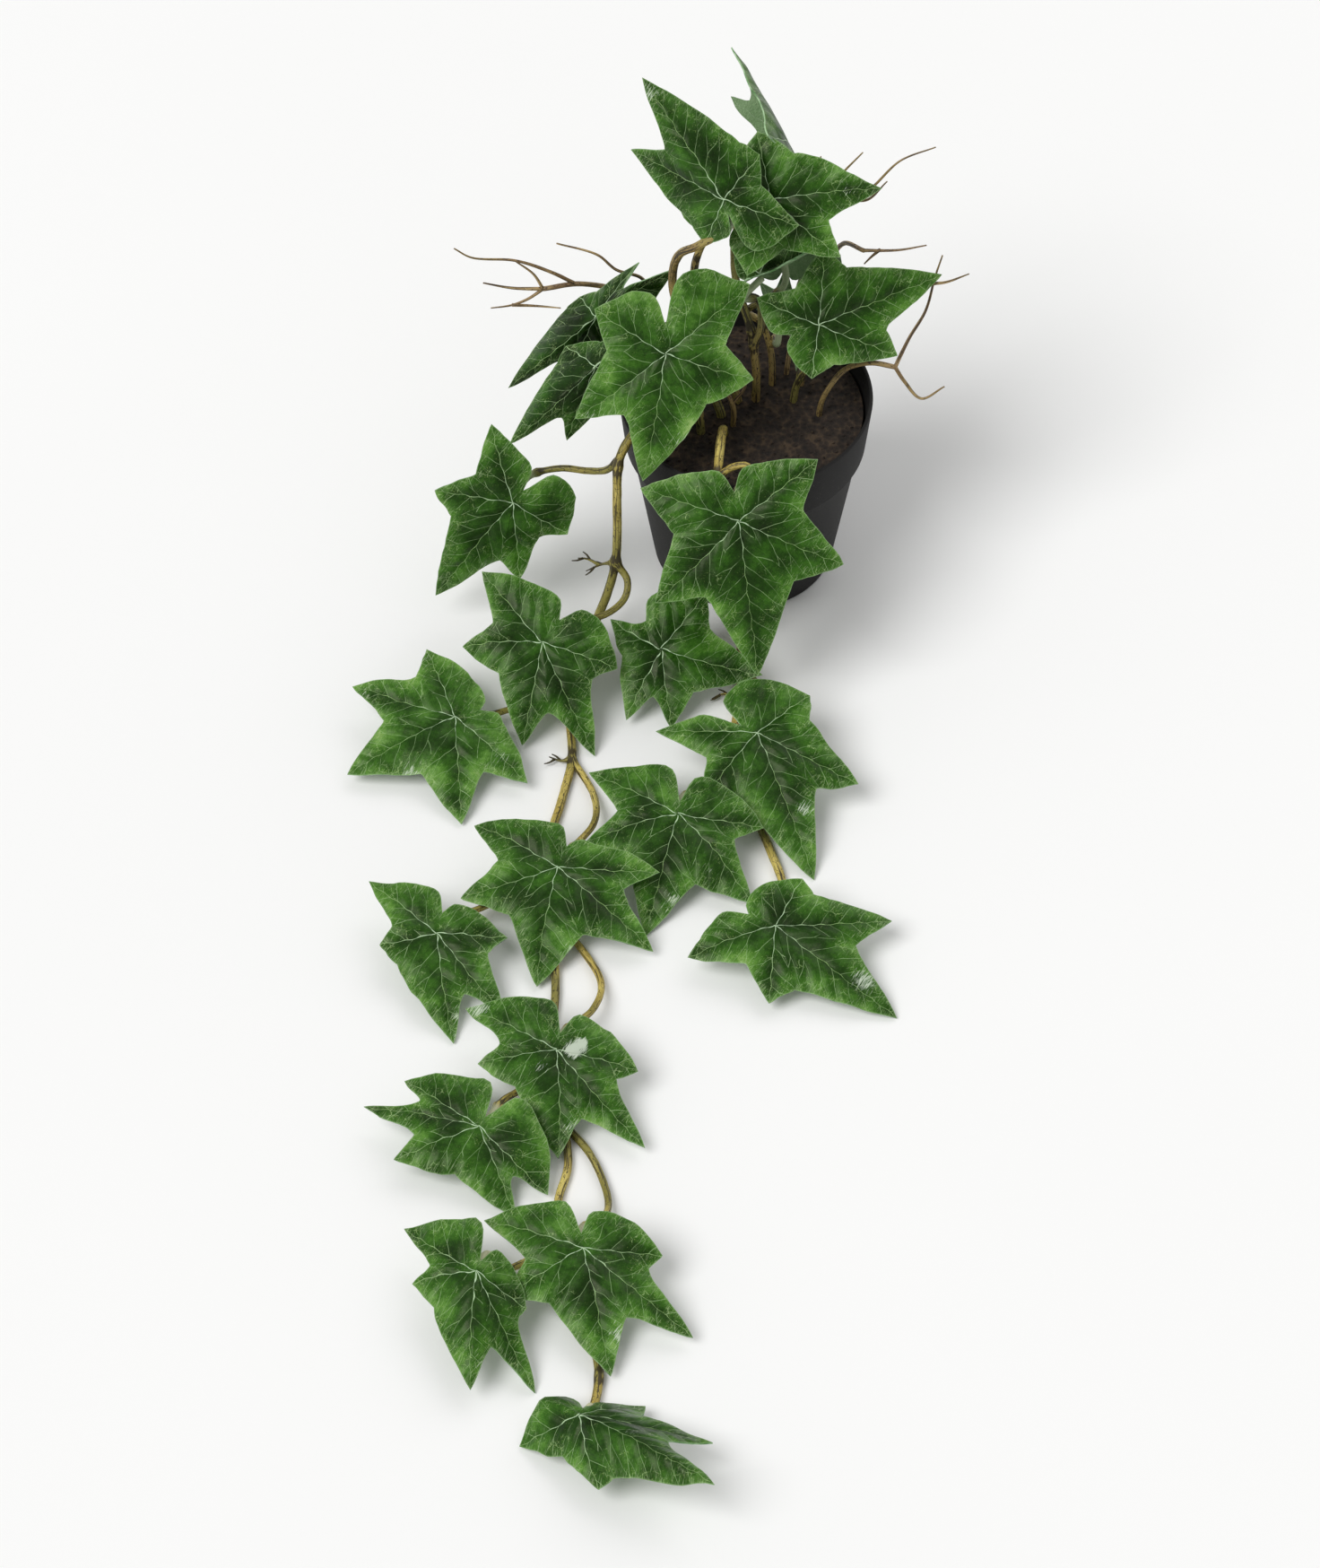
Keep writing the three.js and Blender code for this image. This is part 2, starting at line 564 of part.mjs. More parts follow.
function tube(radius, points) {
  const curve = new THREE.CatmullRomCurve3(points, false, 'centripetal');
  const steps = Math.max(2, Math.round(curve.getLength() / FACET), points.length);
  const sides = radius > 1 ? 6 : 5;
  const ring = [...Array(sides).keys()].map((k) => polar([(k * 360) / sides, radius]));
  const shape = new THREE.Shape(ring);
  return toManifold(new THREE.ExtrudeGeometry(shape, { steps, bevelEnabled: false, extrudePath: curve }));
}

function ball(centre, radius) {
  const geometry = new THREE.IcosahedronGeometry(radius, 0);
  geometry.translate(centre.x, centre.y, centre.z);
  return toManifold(geometry);
}

function stem(name, plan, material) {
  const [x, y, r] = plan.root;
  const foot = new THREE.CylinderGeometry(r, r, SOIL_TOP + 3 - ROOT_END, 6);
  foot.rotateX(Math.PI / 2);
  foot.translate(x, y, (SOIL_TOP + 3 + ROOT_END) / 2);
  const solids = [toManifold(foot)];
  for (const [radius, line, leaf] of plan.limbs) {
    const points = line.map(vec);
    if (leaf) {
      const { end, lead } = stalkEnd(leaf);
      points.push(lead, end);
      solids.push(ball(end, SOCKET_R));
    }
    solids.push(tube(radius, points), ball(points[0], radius * 1.12));
  }
  for (const [centre, radius] of plan.knuckles ?? []) {
    solids.push(ball(vec(centre), radius));
  }
  return toMesh(union(solids).simplify(0.04), name, material);
}

const group = new THREE.Group();
group.name = 'potted_ivy';
group.add(pot(), soil());
for (const [name, plan] of Object.entries(VINES)) {
  group.add(stem(name, plan, VINE));
}
for (const [name, plan] of Object.entries(STEMS)) {
  group.add(stem(name, plan, BARK));
}
for (const name of Object.keys(LEAVES)) {
  group.add(leafBlade(name));
}

export default group;
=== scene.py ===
"""Potted trailing ivy: the looks of every leaf, stem, vine, the pot and its fill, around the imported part."""

import math
from contextlib import contextmanager
from functools import partial

import bpy
import numpy as np
from bpy.props import FloatProperty, FloatVectorProperty, IntProperty, PointerProperty
from mathutils import Matrix, Vector, noise


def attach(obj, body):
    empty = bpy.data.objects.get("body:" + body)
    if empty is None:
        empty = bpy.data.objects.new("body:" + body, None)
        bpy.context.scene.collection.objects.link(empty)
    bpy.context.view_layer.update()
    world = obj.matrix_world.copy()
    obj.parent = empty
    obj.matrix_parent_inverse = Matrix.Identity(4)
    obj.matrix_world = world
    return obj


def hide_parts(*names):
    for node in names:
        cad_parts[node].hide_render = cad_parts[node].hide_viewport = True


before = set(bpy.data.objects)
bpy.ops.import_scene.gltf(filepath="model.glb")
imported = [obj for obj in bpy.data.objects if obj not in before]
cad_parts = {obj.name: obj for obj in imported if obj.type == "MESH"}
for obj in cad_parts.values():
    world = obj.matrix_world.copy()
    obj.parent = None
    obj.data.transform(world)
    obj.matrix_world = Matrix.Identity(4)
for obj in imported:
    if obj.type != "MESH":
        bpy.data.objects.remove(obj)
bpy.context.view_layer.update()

bl_info = {
    "name": "Potted Trailing Ivy",
    "version": (1, 0, 0),
    "blender": (4, 5, 0),
    "location": "View3D > Sidebar > Ivy",
    "description": "Makes a trailing ivy in a black pot around its packed CAD part",
    "category": "Object",
}

MM = 0.001  # one millimetre in the frame's metres

# Stage, in metres: what the camera looks at, and the side of the square floor.
CAMERA_TARGET = (-0.0304, -0.1645, 0.06)
FLOOR_SIZE = 12
ROOM_LIGHT = 0.42
# Softboxes far away: direction they stand in, apparent size in degrees, and share of the key light.
SOFTBOXES = {
    "softbox_key": ((-0.6, -0.42, 1.0), 34, 1.0),
    "softbox_back": ((0.5, 0.75, 0.95), 50, 0.32),
}

# Pot, in millimetres: outer radii and heights.
POT_BASE_R = 32.3
POT_STEP_R = 40.9
POT_BAND_R = 42.9
POT_RIM_R = 45.0
POT_STEP_Z = 57.0
POT_HEIGHT = 78.0
POT_WALL = 1.6
POT_FLOOR = 2.0

# Fill, in millimetres: level at the wall, rise of the middle, how far it reaches past its CAD radius to
# close the slot at the wall, rings and their width, loose crumbs and the golden angle between them.
SOIL_TOP = 70.0
SOIL_DOME = 1.6
SOIL_OVERLAP = 0.6
SOIL_RINGS = 22
SOIL_RING_STEP = 1.7
CRUMBS = 260
CRUMB_TURN = 2.39996

# Leaves, in millimetres and degrees, as in the CAD part, and the usual fullness of an ear. The side
# veins' spacing is only drawn.
FLOOR_RISE = 14.0
UPRIGHT_RISE = 50.0
DROOP = 3.5
FLOOR_CLEAR = 0.2
PLATE = 0.8
SOCKET_R = 1.1
GAP = 0.3
FULL_EAR = 0.62
SIDE_VEIN_STEP = 6.6

# Canes, in millimetres: how far they start below their first point, the vines' radius in the CAD part
# and as moulded, how much thicker a leaf stalk is moulded, the bare sleeve that a leaf is plugged
# into, and the swollen collar before it.
ROOT_DEPTH = 6.0
VINE_CAD_R = 1.4
VINE_R = 1.55
STALK_SWELL = 1.3
AERIAL_ROOT_R = 0.5
SLEEVE_LENGTH = 12.5
SLEEVE_R = 1.32
COLLAR_R = 1.75

# The leaf pattern: spokes from one lobe tip to the next, spokes of one rounded ear, and rings.
LOBE_SPOKES = 30
EAR_SPOKES = 16
SPOKES = 4 * LOBE_SPOKES + 2 * EAR_SPOKES
RINGS = [1, 0.985, 0.96, 0.93, 0.895, 0.86, 0.82, 0.78, 0.74, 0.7, 0.655, 0.61, 0.565, 0.52]
RINGS += [0.475, 0.43, 0.385, 0.34, 0.295, 0.25, 0.205, 0.16, 0.115, 0.07, 0.03]

# One row per leaf. at: vein junction, without a height where the leaf lies on the floor by its
# lowest tip. lobes: bearing and length of the five lobe tips. notch: bearing and depth of the stalk
# notch. ears: fullness of the last and first lobe beside it. rise, yaw, roll: tilt up from level,
# turn to the side, and turn in the picture. lift: height of that tip above the floor. fold: bend
# along the middle lobe. under: the underside is turned to the front. tone: darker below 0, paler above.
LEAVES = {
    "leaf_crown": dict(
        at=(14, 37, 165), rise=78, yaw=-45, fold=52, under=True,
        lobes=[(-18, 12), (60, 17), (131, 38), (154, 25), (190, 13)], notch=(308, 5),
    ),
    "leaf_top_left": dict(
        at=(-8.5, 5, 169), yaw=-5, fold=30, ears=(0.75, 0.8), tone=-0.06,
        lobes=[(-17, 28), (50, 21), (125, 50), (158, 38), (242, 20)], notch=(283, 5),
    ),
    "leaf_top_right": dict(
        at=(8, 14, 160), yaw=-5, ears=(0.85, 0.8),
        lobes=[(252, 28), (320, 31), (366, 38), (462, 24), (535, 36)], notch=(573, 10),
    ),
    "leaf_right": dict(
        at=(25, 0, 113), yaw=10, ears=(0.8, 0.8),
        lobes=[(-97, 19), (-22, 31), (20, 48), (87, 27), (156, 24)], notch=(199, 10),
    ),
    "leaf_folded": dict(
        at=(4.5, 10.5, 127.5), rise=-12, roll=24, yaw=0, fold=-32, tone=-0.12,
        lobes=[(-105, 14), (-48, 20), (0, 26), (50, 18), (110, 14)], notch=(182, 5),
    ),
    "leaf_back_high": dict(
        at=(13, 25, 122), rise=62, under=True,
        lobes=[(10, 18), (48, 24), (88, 30), (130, 24), (180, 18)], notch=(270, 5),
    ),
    "leaf_back_low": dict(
        at=(12.5, 17.6, 101), rise=62, under=True,
        lobes=[(-10, 8), (38, 10), (85, 16), (125, 14), (170, 9)], notch=(260, 4),
    ),
    "leaf_right_under": dict(
        at=(25, 24, 104), rise=55, under=True,
        lobes=[(200, 10), (255, 28), (309, 30), (356, 20), (420, 16)], notch=(485, 5),
    ),
    "leaf_left_upper": dict(
        at=(-53, 8, 109), yaw=-12, fold=50, tone=-0.2,
        lobes=[(60, 24), (140, 15), (219, 42), (250, 26), (388, 32)], notch=(408, 14),
    ),
    "leaf_left_lower": dict(
        at=(-53, -12, 104.5), yaw=-10, fold=42, tone=-0.16,
        lobes=[(40, 15), (150, 18), (222, 42), (252, 32), (335, 12)], notch=(368, 6),
    ),
    "leaf_front_left": dict(
        at=(-28.5, -17, 116), ears=(0.85, 0.85), tone=0.08,
        lobes=[(148, 29), (216, 39), (260, 46), (343, 32), (399, 38)], notch=(450, 10),
    ),
    "leaf_front": dict(
        at=(-3, -57, 74),
        lobes=[(162, 36), (225, 41), (277, 56), (337, 40), (398, 35)], notch=(459, 10),
    ),
    "leaf_left_hanging": dict(
        at=(-82.5, -26, 50), rise=68, ears=(0.95, 0.6),
        lobes=[(104, 30), (172, 28), (234, 48), (274, 31), (326, 23)], notch=(412, 6),
    ),
    "leaf_trail_01": dict(
        at=(-72, -71), rise=34, ears=(0.8, 0.6), tone=-0.04,
        lobes=[(130, 33), (183, 28), (259, 37), (295, 44), (341, 28)], notch=(412, 10),
    ),
    "leaf_trail_02": dict(
        at=(-30, -67), rise=30, lift=2, ears=(0.85, 0.6),
        lobes=[(149, 21), (244, 28), (277, 28), (346, 37), (412, 26)], notch=(477, 12),
    ),
    "leaf_trail_03": dict(
        at=(-102.5, -95), ears=(0.5, 0.55), tone=0.08,
        lobes=[(111, 29), (159, 39), (209, 43), (274, 41), (316, 36)], notch=(378, 9),
    ),
    "leaf_trail_04": dict(
        at=(3.5, -108), ears=(0.88, 0.7),
        lobes=[(177, 35), (233, 31), (290, 57), (332, 40), (399, 24)], notch=(514, 6),
    ),
    "leaf_trail_05": dict(
        at=(-24.3, -141),
        lobes=[(151, 35), (198, 34), (256, 46), (308, 42), (352, 30)], notch=(443, 5),
    ),
    "leaf_trail_06": dict(
        at=(-65.5, -165), lift=1, ears=(0.45, 0.55),
        lobes=[(149, 34), (198, 35), (261, 44), (318, 44), (358, 35)], notch=(429, 8),
    ),
    "leaf_trail_07": dict(
        at=(-106.5, -192),
        lobes=[(139, 31), (191, 20), (279, 40), (308, 38), (357, 24)], notch=(437, 8),
    ),
    "leaf_trail_08": dict(
        at=(9, -189), ears=(0.8, 0.7),
        lobes=[(200, 32), (265, 28), (322, 52), (365, 40), (422, 20)], notch=(516, 10),
    ),
    "leaf_trail_09": dict(
        at=(-65, -244), lift=3.2,
        lobes=[(152, 35), (189, 27), (271, 38), (311, 45), (346, 28)], notch=(439, 6),
    ),
    "leaf_trail_10": dict(
        at=(-90.5, -274.5), fold=8,
        lobes=[(143, 32), (166, 40), (202, 30), (292, 33), (316, 32)], notch=(420, 4),
    ),
    "leaf_trail_11": dict(
        at=(-55.5, -326), lift=2.3, tone=0.04,
        lobes=[(162, 34), (212, 29), (282, 44), (321, 46), (356, 26)], notch=(457, 5),
    ),
    "leaf_trail_12": dict(
        at=(-90, -339), fold=25,
        lobes=[(143, 33), (182, 23), (268, 39), (300, 43), (331, 21)], notch=(430, 4),
    ),
    "leaf_trail_13": dict(
        at=(-56, -391), rise=-8, yaw=-16, fold=34, tone=-0.04,
        lobes=[(183, 25), (272, 24), (321, 55), (352, 42), (400, 26)], notch=(440, 5),
    ),
}

# White rub marks, and a painted white highlight on leaf_trail_09: bearing and distance from the junction,
# radius, and strength.
RUBS_AND_PAINTED_GLINTS = {
    "leaf_right": [(45, 34, 5, 0.8), (12, 42, 4, 0.5)],
    "leaf_top_left": [(126, 44, 5, 0.7)],
    "leaf_top_right": [(368, 26, 4, 0.5)],
    "leaf_front_left": [(284, 33, 5, 0.9), (222, 35, 5, 0.6), (352, 26, 4, 0.4), (166, 24, 5, 0.4)],
    "leaf_left_hanging": [(250, 28, 4, 0.6), (312, 15, 4, 0.3)],
    "leaf_trail_01": [(272, 31, 4, 0.8)],
    "leaf_trail_03": [(236, 27, 5, 0.8), (316, 22, 5, 0.5), (116, 25, 4, 0.5), (162, 34, 4, 0.5)],
    "leaf_trail_04": [(300, 33, 4, 0.8)],
    "leaf_trail_05": [(268, 33, 5, 0.7), (298, 24, 3, 0.4)],
    "leaf_trail_06": [(279, 32, 4, 0.8)],
    "leaf_trail_07": [(288, 31, 4.5, 0.9), (281, 38, 3, 0.7)],
    "leaf_trail_08": [(327, 36, 5, 0.9)],
    # leaf_trail_09's two strong spots near the junction are a painted white highlight; the rest are rub marks.
    "leaf_trail_09": [(358, 5.6, 3.1, 1.6), (12, 8.2, 2.6, 1.6), (234, 8, 3, 0.6), (281, 28, 4, 0.7),
                      (148, 31, 5, 0.9)],
    "leaf_trail_10": [(226, 25, 4, 0.6), (200, 26, 4, 0.4)],
    "leaf_trail_11": [(293, 32, 4.5, 0.9), (300, 25, 3, 0.4)],
    "leaf_trail_12": [(276, 33, 4.5, 0.8), (126, 26, 4, 0.5)],
    "leaf_trail_13": [(330, 20, 4, 0.4)],
}

# Stems that stand in the fill. Each limb: radius, points of its centre line, and its leaf, if any.
STEMS = {
    "stem_crown": [
        (1.5, [(3.6, 4, 73), (3.6, 5, 84), (1.7, 8, 102)]),
        (1.05, [(1.7, 8, 102), (-4, 19, 118), (-3, 27, 136), (5, 33, 148)], "leaf_crown"),
        (0.95, [(2.5, 6.5, 96), (5, 6, 107), (3.5, 9, 117)], "leaf_folded"),
    ],
    "stem_middle": [
        (1.2, [(9.5, 12, 73), (9, 16, 82), (6, 22, 92)]),
        (0.95, [(6, 22, 92), (0, 20, 99), (2, 14, 108)], "leaf_back_high"),
        (0.9, [(8.6, 17.5, 84.5), (10, 17.2, 89)], "leaf_back_low"),
    ],
    "stem_right": [
        (1.3, [(17, 3, 73), (18, 3, 80), (22, 2, 91)]),
        (0.95, [(22, 2, 91), (23.5, 1, 98)], "leaf_right"),
        (0.9, [(19, 3, 84), (20, 10, 93)], "leaf_right_under"),
    ],
    "stem_top_left": [
        (1.2, [
            (-9, -4, 73), (-14, 1, 84), (-22, 8, 104), (-26, 11, 122), (-24, 9, 138), (-17, 4, 148),
        ], "leaf_top_left"),
    ],
    "stem_top_right": [
        (1.1, [
            (-3, 3, 73), (-8, 7, 84), (-17, 14, 108), (-18, 16, 128), (-12, 18, 142), (-5, 18, 149),
        ], "leaf_top_right"),
    ],
    "stem_left": [
        (1.2, [(-14, 7, 73), (-20, 7, 82), (-32, 8, 96)]),
        (0.95, [(-32, 8, 96), (-38, 17, 101)], "leaf_left_upper"),
        (0.95, [(-26, 7.5, 89), (-34, 2.5, 92), (-42, -3.6, 96)], "leaf_left_lower"),
    ],
    "stem_front_left": [
        (1.1, [(-16, -12, 73), (-17, -9, 82), (-20, -4, 97), (-24, -2, 109)], "leaf_front_left"),
    ],
}

# Bare twigs that stand in the fill, in the same way.
TWIGS = {
    "twig_right_high": [
        (0.9, [(14.7, 17, 73), (18, 27, 90), (22, 38, 118), (24, 35, 138), (26.5, 25, 150)]),
        (0.6, [(26.5, 25, 150), (23.6, 25, 159), (25, 26, 169)]),
        (0.6, [(26.5, 25, 150), (32, 26, 160), (39.5, 28, 169)]),
        (0.6, [(26.5, 25, 150), (36, 25, 150.5), (42.3, 25, 154.5), (52.5, 27, 166), (64.5, 28, 171.5)]),
        (0.6, [(33, 25, 150.2), (41, 23, 151), (48, 23, 160)]),
    ],
    "twig_right_mid": [
        (0.9, [(20, 12, 73), (24, 24, 86), (30, 37, 106), (34, 31, 122), (40.5, 17, 132.5)]),
        (0.6, [(40.5, 17, 132.5), (52.5, 15, 134.7), (62, 13, 139)]),
        (0.6, [(46, 16, 133.8), (43, 18, 128), (41, 19, 124)]),
    ],
    "twig_right_low": [
        (1, [(26, -3, 73), (28, -3, 82), (35, -1, 92), (44, -3, 97), (52, -4, 96)]),
        (0.7, [(52, -4, 96), (55, -7, 92.5), (61, -12, 88.5), (69, -13, 95.5)]),
        (0.7, [(52, -4, 96), (57, 6, 100), (63, 15, 105), (66, 21, 115), (68.2, 20, 127)]),
        (0.6, [(65.6, 20.2, 113), (70, 17, 117), (77.5, 15, 123)]),
    ],
    "twig_left": [
        (1, [(-20, 15, 73), (-27, 22, 82), (-41, 30, 97), (-58, 29, 104), (-71.6, 26, 104.5)]),
        (0.7, [(-71.6, 26, 104.5), (-82.6, 24, 107), (-92.5, 22, 111.5)]),
        (0.7, [
            (-60, 28.7, 104.2), (-69, 27, 112), (-81, 26, 118.5), (-96.3, 24, 122), (-102.4, 24, 126.5),
        ]),
        (0.6, [(-71.6, 26, 104.5), (-75, 26, 112), (-81.5, 26, 118.6)]),
        (0.6, [(-71.6, 26, 104.5), (-77, 24, 101.5), (-82.6, 22, 100.5), (-90, 20, 101)]),
        (0.6, [(-82.6, 22, 100.5), (-74, 23, 99), (-65.5, 23, 98)]),
        (0.8, [
            (-31, 24.5, 87), (-34, 27, 100), (-37, 25, 111), (-45.7, 24, 116), (-52.5, 24, 123.5),
            (-66.5, 24, 129),
        ]),
    ],
    "twig_centre": [
        (1, [(-4.5, -9, 73), (-4.5, -9, 80), (-6, -9, 86)]),
        (0.7, [(-6, -9, 86), (-10, -9, 93), (-11, -10, 99)]),
        (0.7, [(-5, -9, 82.5), (-1, -9, 90), (0, -9, 97)]),
    ],
}

# Vines that go over the rim and lie along the floor. The thinnest limbs are aerial roots.
VINES = {
    "trail_vine_left": [
        (1.4, [
            (-17, -7, 73), (-21, -10, 80), (-31, -17, 85.5), (-39, -21.5, 81.6), (-44.5, -28, 75),
            (-45.5, -34, 62), (-45.5, -38, 47), (-46.2, -41, 35), (-49, -45.5, 24), (-54, -51, 12),
            (-58, -59, 3.6), (-61, -69, 1.6), (-62.2, -86, 1.6), (-61.4, -104, 1.6), (-65, -124, 1.6),
            (-69, -143, 1.6), (-68, -174, 1.6), (-66, -207, 1.6), (-67.5, -235, 1.6),
            (-63.2, -260, 1.6), (-61, -281, 1.6), (-64, -295, 1.6), (-64.8, -314, 1.6),
        ]),
        (1.2, [
            (-64.8, -314, 1.6), (-59, -337, 1.6), (-50.5, -360, 1.8), (-51, -374, 2), (-54.5, -387, 5),
        ], "leaf_trail_13"),
        (0.95, [(-44.5, -28, 75), (-49, -26, 67), (-56, -21, 61), (-66, -17, 58)], "leaf_left_hanging"),
        (0.95, [(-46.2, -41, 35), (-42, -46, 31), (-43, -51, 27), (-50, -57, 25)], "leaf_trail_01"),
        (0.95, [(-60.8, -71, 1.6), (-71, -79, 2.5), (-81, -84, 6)], "leaf_trail_03"),
        (0.95, [(-61.4, -104, 1.6), (-53.5, -122, 3), (-53.5, -139, 8)], "leaf_trail_06"),
        (0.95, [(-69, -143, 1.6), (-82, -164, 2.5), (-93, -177, 8)], "leaf_trail_07"),
        (0.95, [(-68, -174, 1.6), (-57, -190, 1.8), (-50.5, -205, 3), (-53.5, -221, 8)], "leaf_trail_09"),
        (0.95, [(-67.5, -235, 1.6), (-75.5, -249, 3), (-83, -259, 8)], "leaf_trail_10"),
        (0.95, [(-62.3, -264, 1.6), (-53, -278, 1.8), (-47.5, -297, 3), (-50, -309, 9)], "leaf_trail_11"),
        (0.95, [(-64.8, -314, 1.6), (-74.5, -322, 4), (-82, -328, 8)], "leaf_trail_12"),
        (0.5, [(-46.2, -41, 35), (-51, -41, 34), (-56.6, -42, 31.5)]),
        (0.5, [(-52, -41, 33.6), (-56, -39, 34.5), (-59.5, -39, 35)]),
        (0.5, [(-61.4, -104, 1.6), (-65.4, -105, 1.8), (-69.4, -103, 1.6)]),
        (0.5, [(-69, -143, 1.6), (-64, -146, 1.8), (-60, -146, 1.6)]),
        (0.5, [(-64.8, -314, 1.6), (-60, -317, 1.8), (-55.5, -316, 1.6)]),
    ],
    "trail_vine_front": [
        (1.4, [
            (-8, -13, 73), (-8.5, -20, 80), (-9.5, -33, 85), (-10.2, -43.5, 82), (-9.5, -48, 75),
            (-8.4, -48.5, 67), (-6, -46, 50), (-3, -43.5, 30), (-1.5, -44, 14), (-1.5, -50, 4),
            (-1.8, -60, 1.6), (-2, -72, 1.6), (-4, -89, 1.6), (-5, -101, 1.6),
        ]),
        (1.2, [(-5, -101, 1.6), (-11, -114, 2), (-17, -124, 8)], "leaf_trail_05"),
        (1.2, [
            (-5, -101, 1.6), (1, -124, 1.6), (8, -146, 1.6), (12, -161, 1.8), (11, -173, 7),
        ], "leaf_trail_08"),
        (0.95, [(-10.2, -43.5, 82), (-5, -42.5, 86), (0, -43, 87), (1, -45.5, 83)], "leaf_front"),
        (0.95, [(-4, -44.2, 36), (-10, -43, 28), (-18, -46, 22), (-26, -51, 17)], "leaf_trail_02"),
        (0.95, [(-1.8, -60, 1.6), (5, -71, 2.5), (11.5, -82, 4), (12.5, -91, 8)], "leaf_trail_04"),
        (0.5, [(-2.6, -76, 1.6), (-8, -74, 1.8), (-12, -76, 1.6)]),
    ],
}

# Knuckles, the swollen places where a limb leaves a cane: centre and radius.
KNUCKLES = {
    "trail_vine_left": [
        ((-44.9, -29.5, 72), 2.0), ((-46.2, -41, 35), 2.3), ((-61.4, -104, 1.9), 1.75),
        ((-60.8, -71, 1.9), 1.7), ((-69, -143, 1.9), 1.75), ((-68, -174, 1.8), 1.7),
        ((-67.5, -235, 1.8), 1.7), ((-62.3, -264, 1.8), 1.7), ((-64.8, -314, 1.9), 1.8),
        ((-50.7, -366, 2), 1.8),
    ],
    "trail_vine_front": [
        ((-10.2, -43.5, 82), 2.2), ((-4, -44.2, 36), 1.8), ((-1.8, -60, 1.9), 1.75),
        ((-5, -101, 1.9), 1.8),
    ],
    "stem_crown": [((1.7, 8, 102), 2.0), ((2.5, 6.5, 96), 1.8)],
    "stem_right": [((22, 2, 91), 1.7), ((19, 3, 84), 1.6)],
    "stem_left": [((-32, 8, 96), 1.6), ((-26, 7.5, 89), 1.5)],
    "stem_middle": [((6, 22, 92), 1.5)],
    "stem_top_left": [((-22, 8, 104), 1.5)],
    "stem_top_right": [((-18, 16, 128), 1.4)],
}


def linear(code):
    """Turns an sRGB hex colour into the linear values that Blender works with."""
    parts = [int(code[i:i + 2], 16) / 255 for i in (1, 3, 5)]
    return tuple(c / 12.92 if c <= 0.04045 else ((c + 0.055) / 1.055) ** 2.4 for c in parts)


def paint(code):
    """The same colour with full alpha, as a shader socket takes it."""
    return (*linear(code), 1.0)


class IvyPotSettings(bpy.types.PropertyGroup):
    """Size and colour of the pot."""

    rim_radius: FloatProperty(
        name="Rim radius", description="Outer radius of the rim", default=POT_RIM_R * MM, unit="LENGTH",
    )
    height: FloatProperty(
        name="Height", description="Height of the pot", default=POT_HEIGHT * MM, unit="LENGTH",
    )
    sides: IntProperty(name="Sides", description="Facets around the pot", default=144, min=24)
    colour: FloatVectorProperty(
        name="Plastic", description="Colour of the moulded plastic", default=linear("#1b1a1a"),
        size=3, subtype="COLOR", min=0, max=1,
    )


class IvyLeafSettings(bpy.types.PropertyGroup):
    """Shape and colour of the leaves."""

    thickness: FloatProperty(
        name="Thickness", description="Thickness of a leaf blade", default=0.5 * MM, unit="LENGTH",
    )
    pucker: FloatProperty(
        name="Pucker", description="How far the blade stands up between its veins", default=1.5 * MM,
        unit="LENGTH",
    )
    wave: FloatProperty(
        name="Wave", description="How far the margin waves up and down", default=1.1 * MM, unit="LENGTH",
    )
    vein_colour: FloatVectorProperty(
        name="Vein print", description="Colour of the printed veins", default=linear("#c3dfb6"),
        size=3, subtype="COLOR", min=0, max=1,
    )
    under_colour: FloatVectorProperty(
        name="Underside", description="Colour of the underside", default=linear("#8ca67c"),
        size=3, subtype="COLOR", min=0, max=1,
    )


class IvyStemSettings(bpy.types.PropertyGroup):
    """Fineness and colour of the stems, vines and twigs."""

    step: FloatProperty(
        name="Step", description="Length of one ring along a stem", default=1.0 * MM, unit="LENGTH",
    )
    sides: IntProperty(name="Sides", description="Facets around a stem", default=12, min=6)
    vine_colour: FloatVectorProperty(
        name="Vine", description="Ground colour of the trailing vines", default=linear("#b09b49"),
        size=3, subtype="COLOR", min=0, max=1,
    )
    bark_colour: FloatVectorProperty(
        name="Bark", description="Ground colour of the upright stems", default=linear("#877041"),
        size=3, subtype="COLOR", min=0, max=1,
    )


class IvyStudioSettings(bpy.types.PropertyGroup):
    """Camera and light."""

    distance: FloatProperty(
        name="Distance", description="From the camera to what it looks at", default=2.0, unit="LENGTH",
    )
    elevation: FloatProperty(
        name="Elevation", description="Height of the camera above the horizon",
        default=math.radians(50), subtype="ANGLE",
    )
    azimuth: FloatProperty(
        name="Azimuth", description="Turn of the camera about the plant", default=0.0, subtype="ANGLE",
    )
    lens: FloatProperty(name="Lens", description="Focal length of the camera", default=136.0, unit="CAMERA")
    key: FloatProperty(name="Key light", description="Strength of the main softbox", default=1.9)


def clear_selection():
    """Leaves nothing selected, so that an operator works only on the piece in hand."""
    if bpy.context.object and bpy.context.object.mode != "OBJECT":
        bpy.ops.object.mode_set(mode="OBJECT")
    bpy.ops.object.select_all(action="DESELECT")


def take_in_hand(piece):
    """Selects one piece and makes it the active one."""
    clear_selection()
    piece.select_set(True)
    bpy.context.view_layer.objects.active = piece


@contextmanager
def edit_mode(piece):
    """Edit mode on one piece, with all of its mesh selected."""
    take_in_hand(piece)
    bpy.ops.object.mode_set(mode="EDIT")
    bpy.ops.mesh.select_all(action="SELECT")
    yield
    bpy.ops.object.mode_set(mode="OBJECT")


def join_pieces(pieces):
    """Joins pieces into the first of them."""
    clear_selection()
    for piece in pieces:
        piece.select_set(True)
    bpy.context.view_layer.objects.active = pieces[0]
    bpy.ops.object.join()
    return bpy.context.object


def set_places(mesh, places):
    """Moves a mesh's vertices to places given in millimetres."""
    mesh.vertices.foreach_set("co", (places * MM).astype(np.float32).ravel())


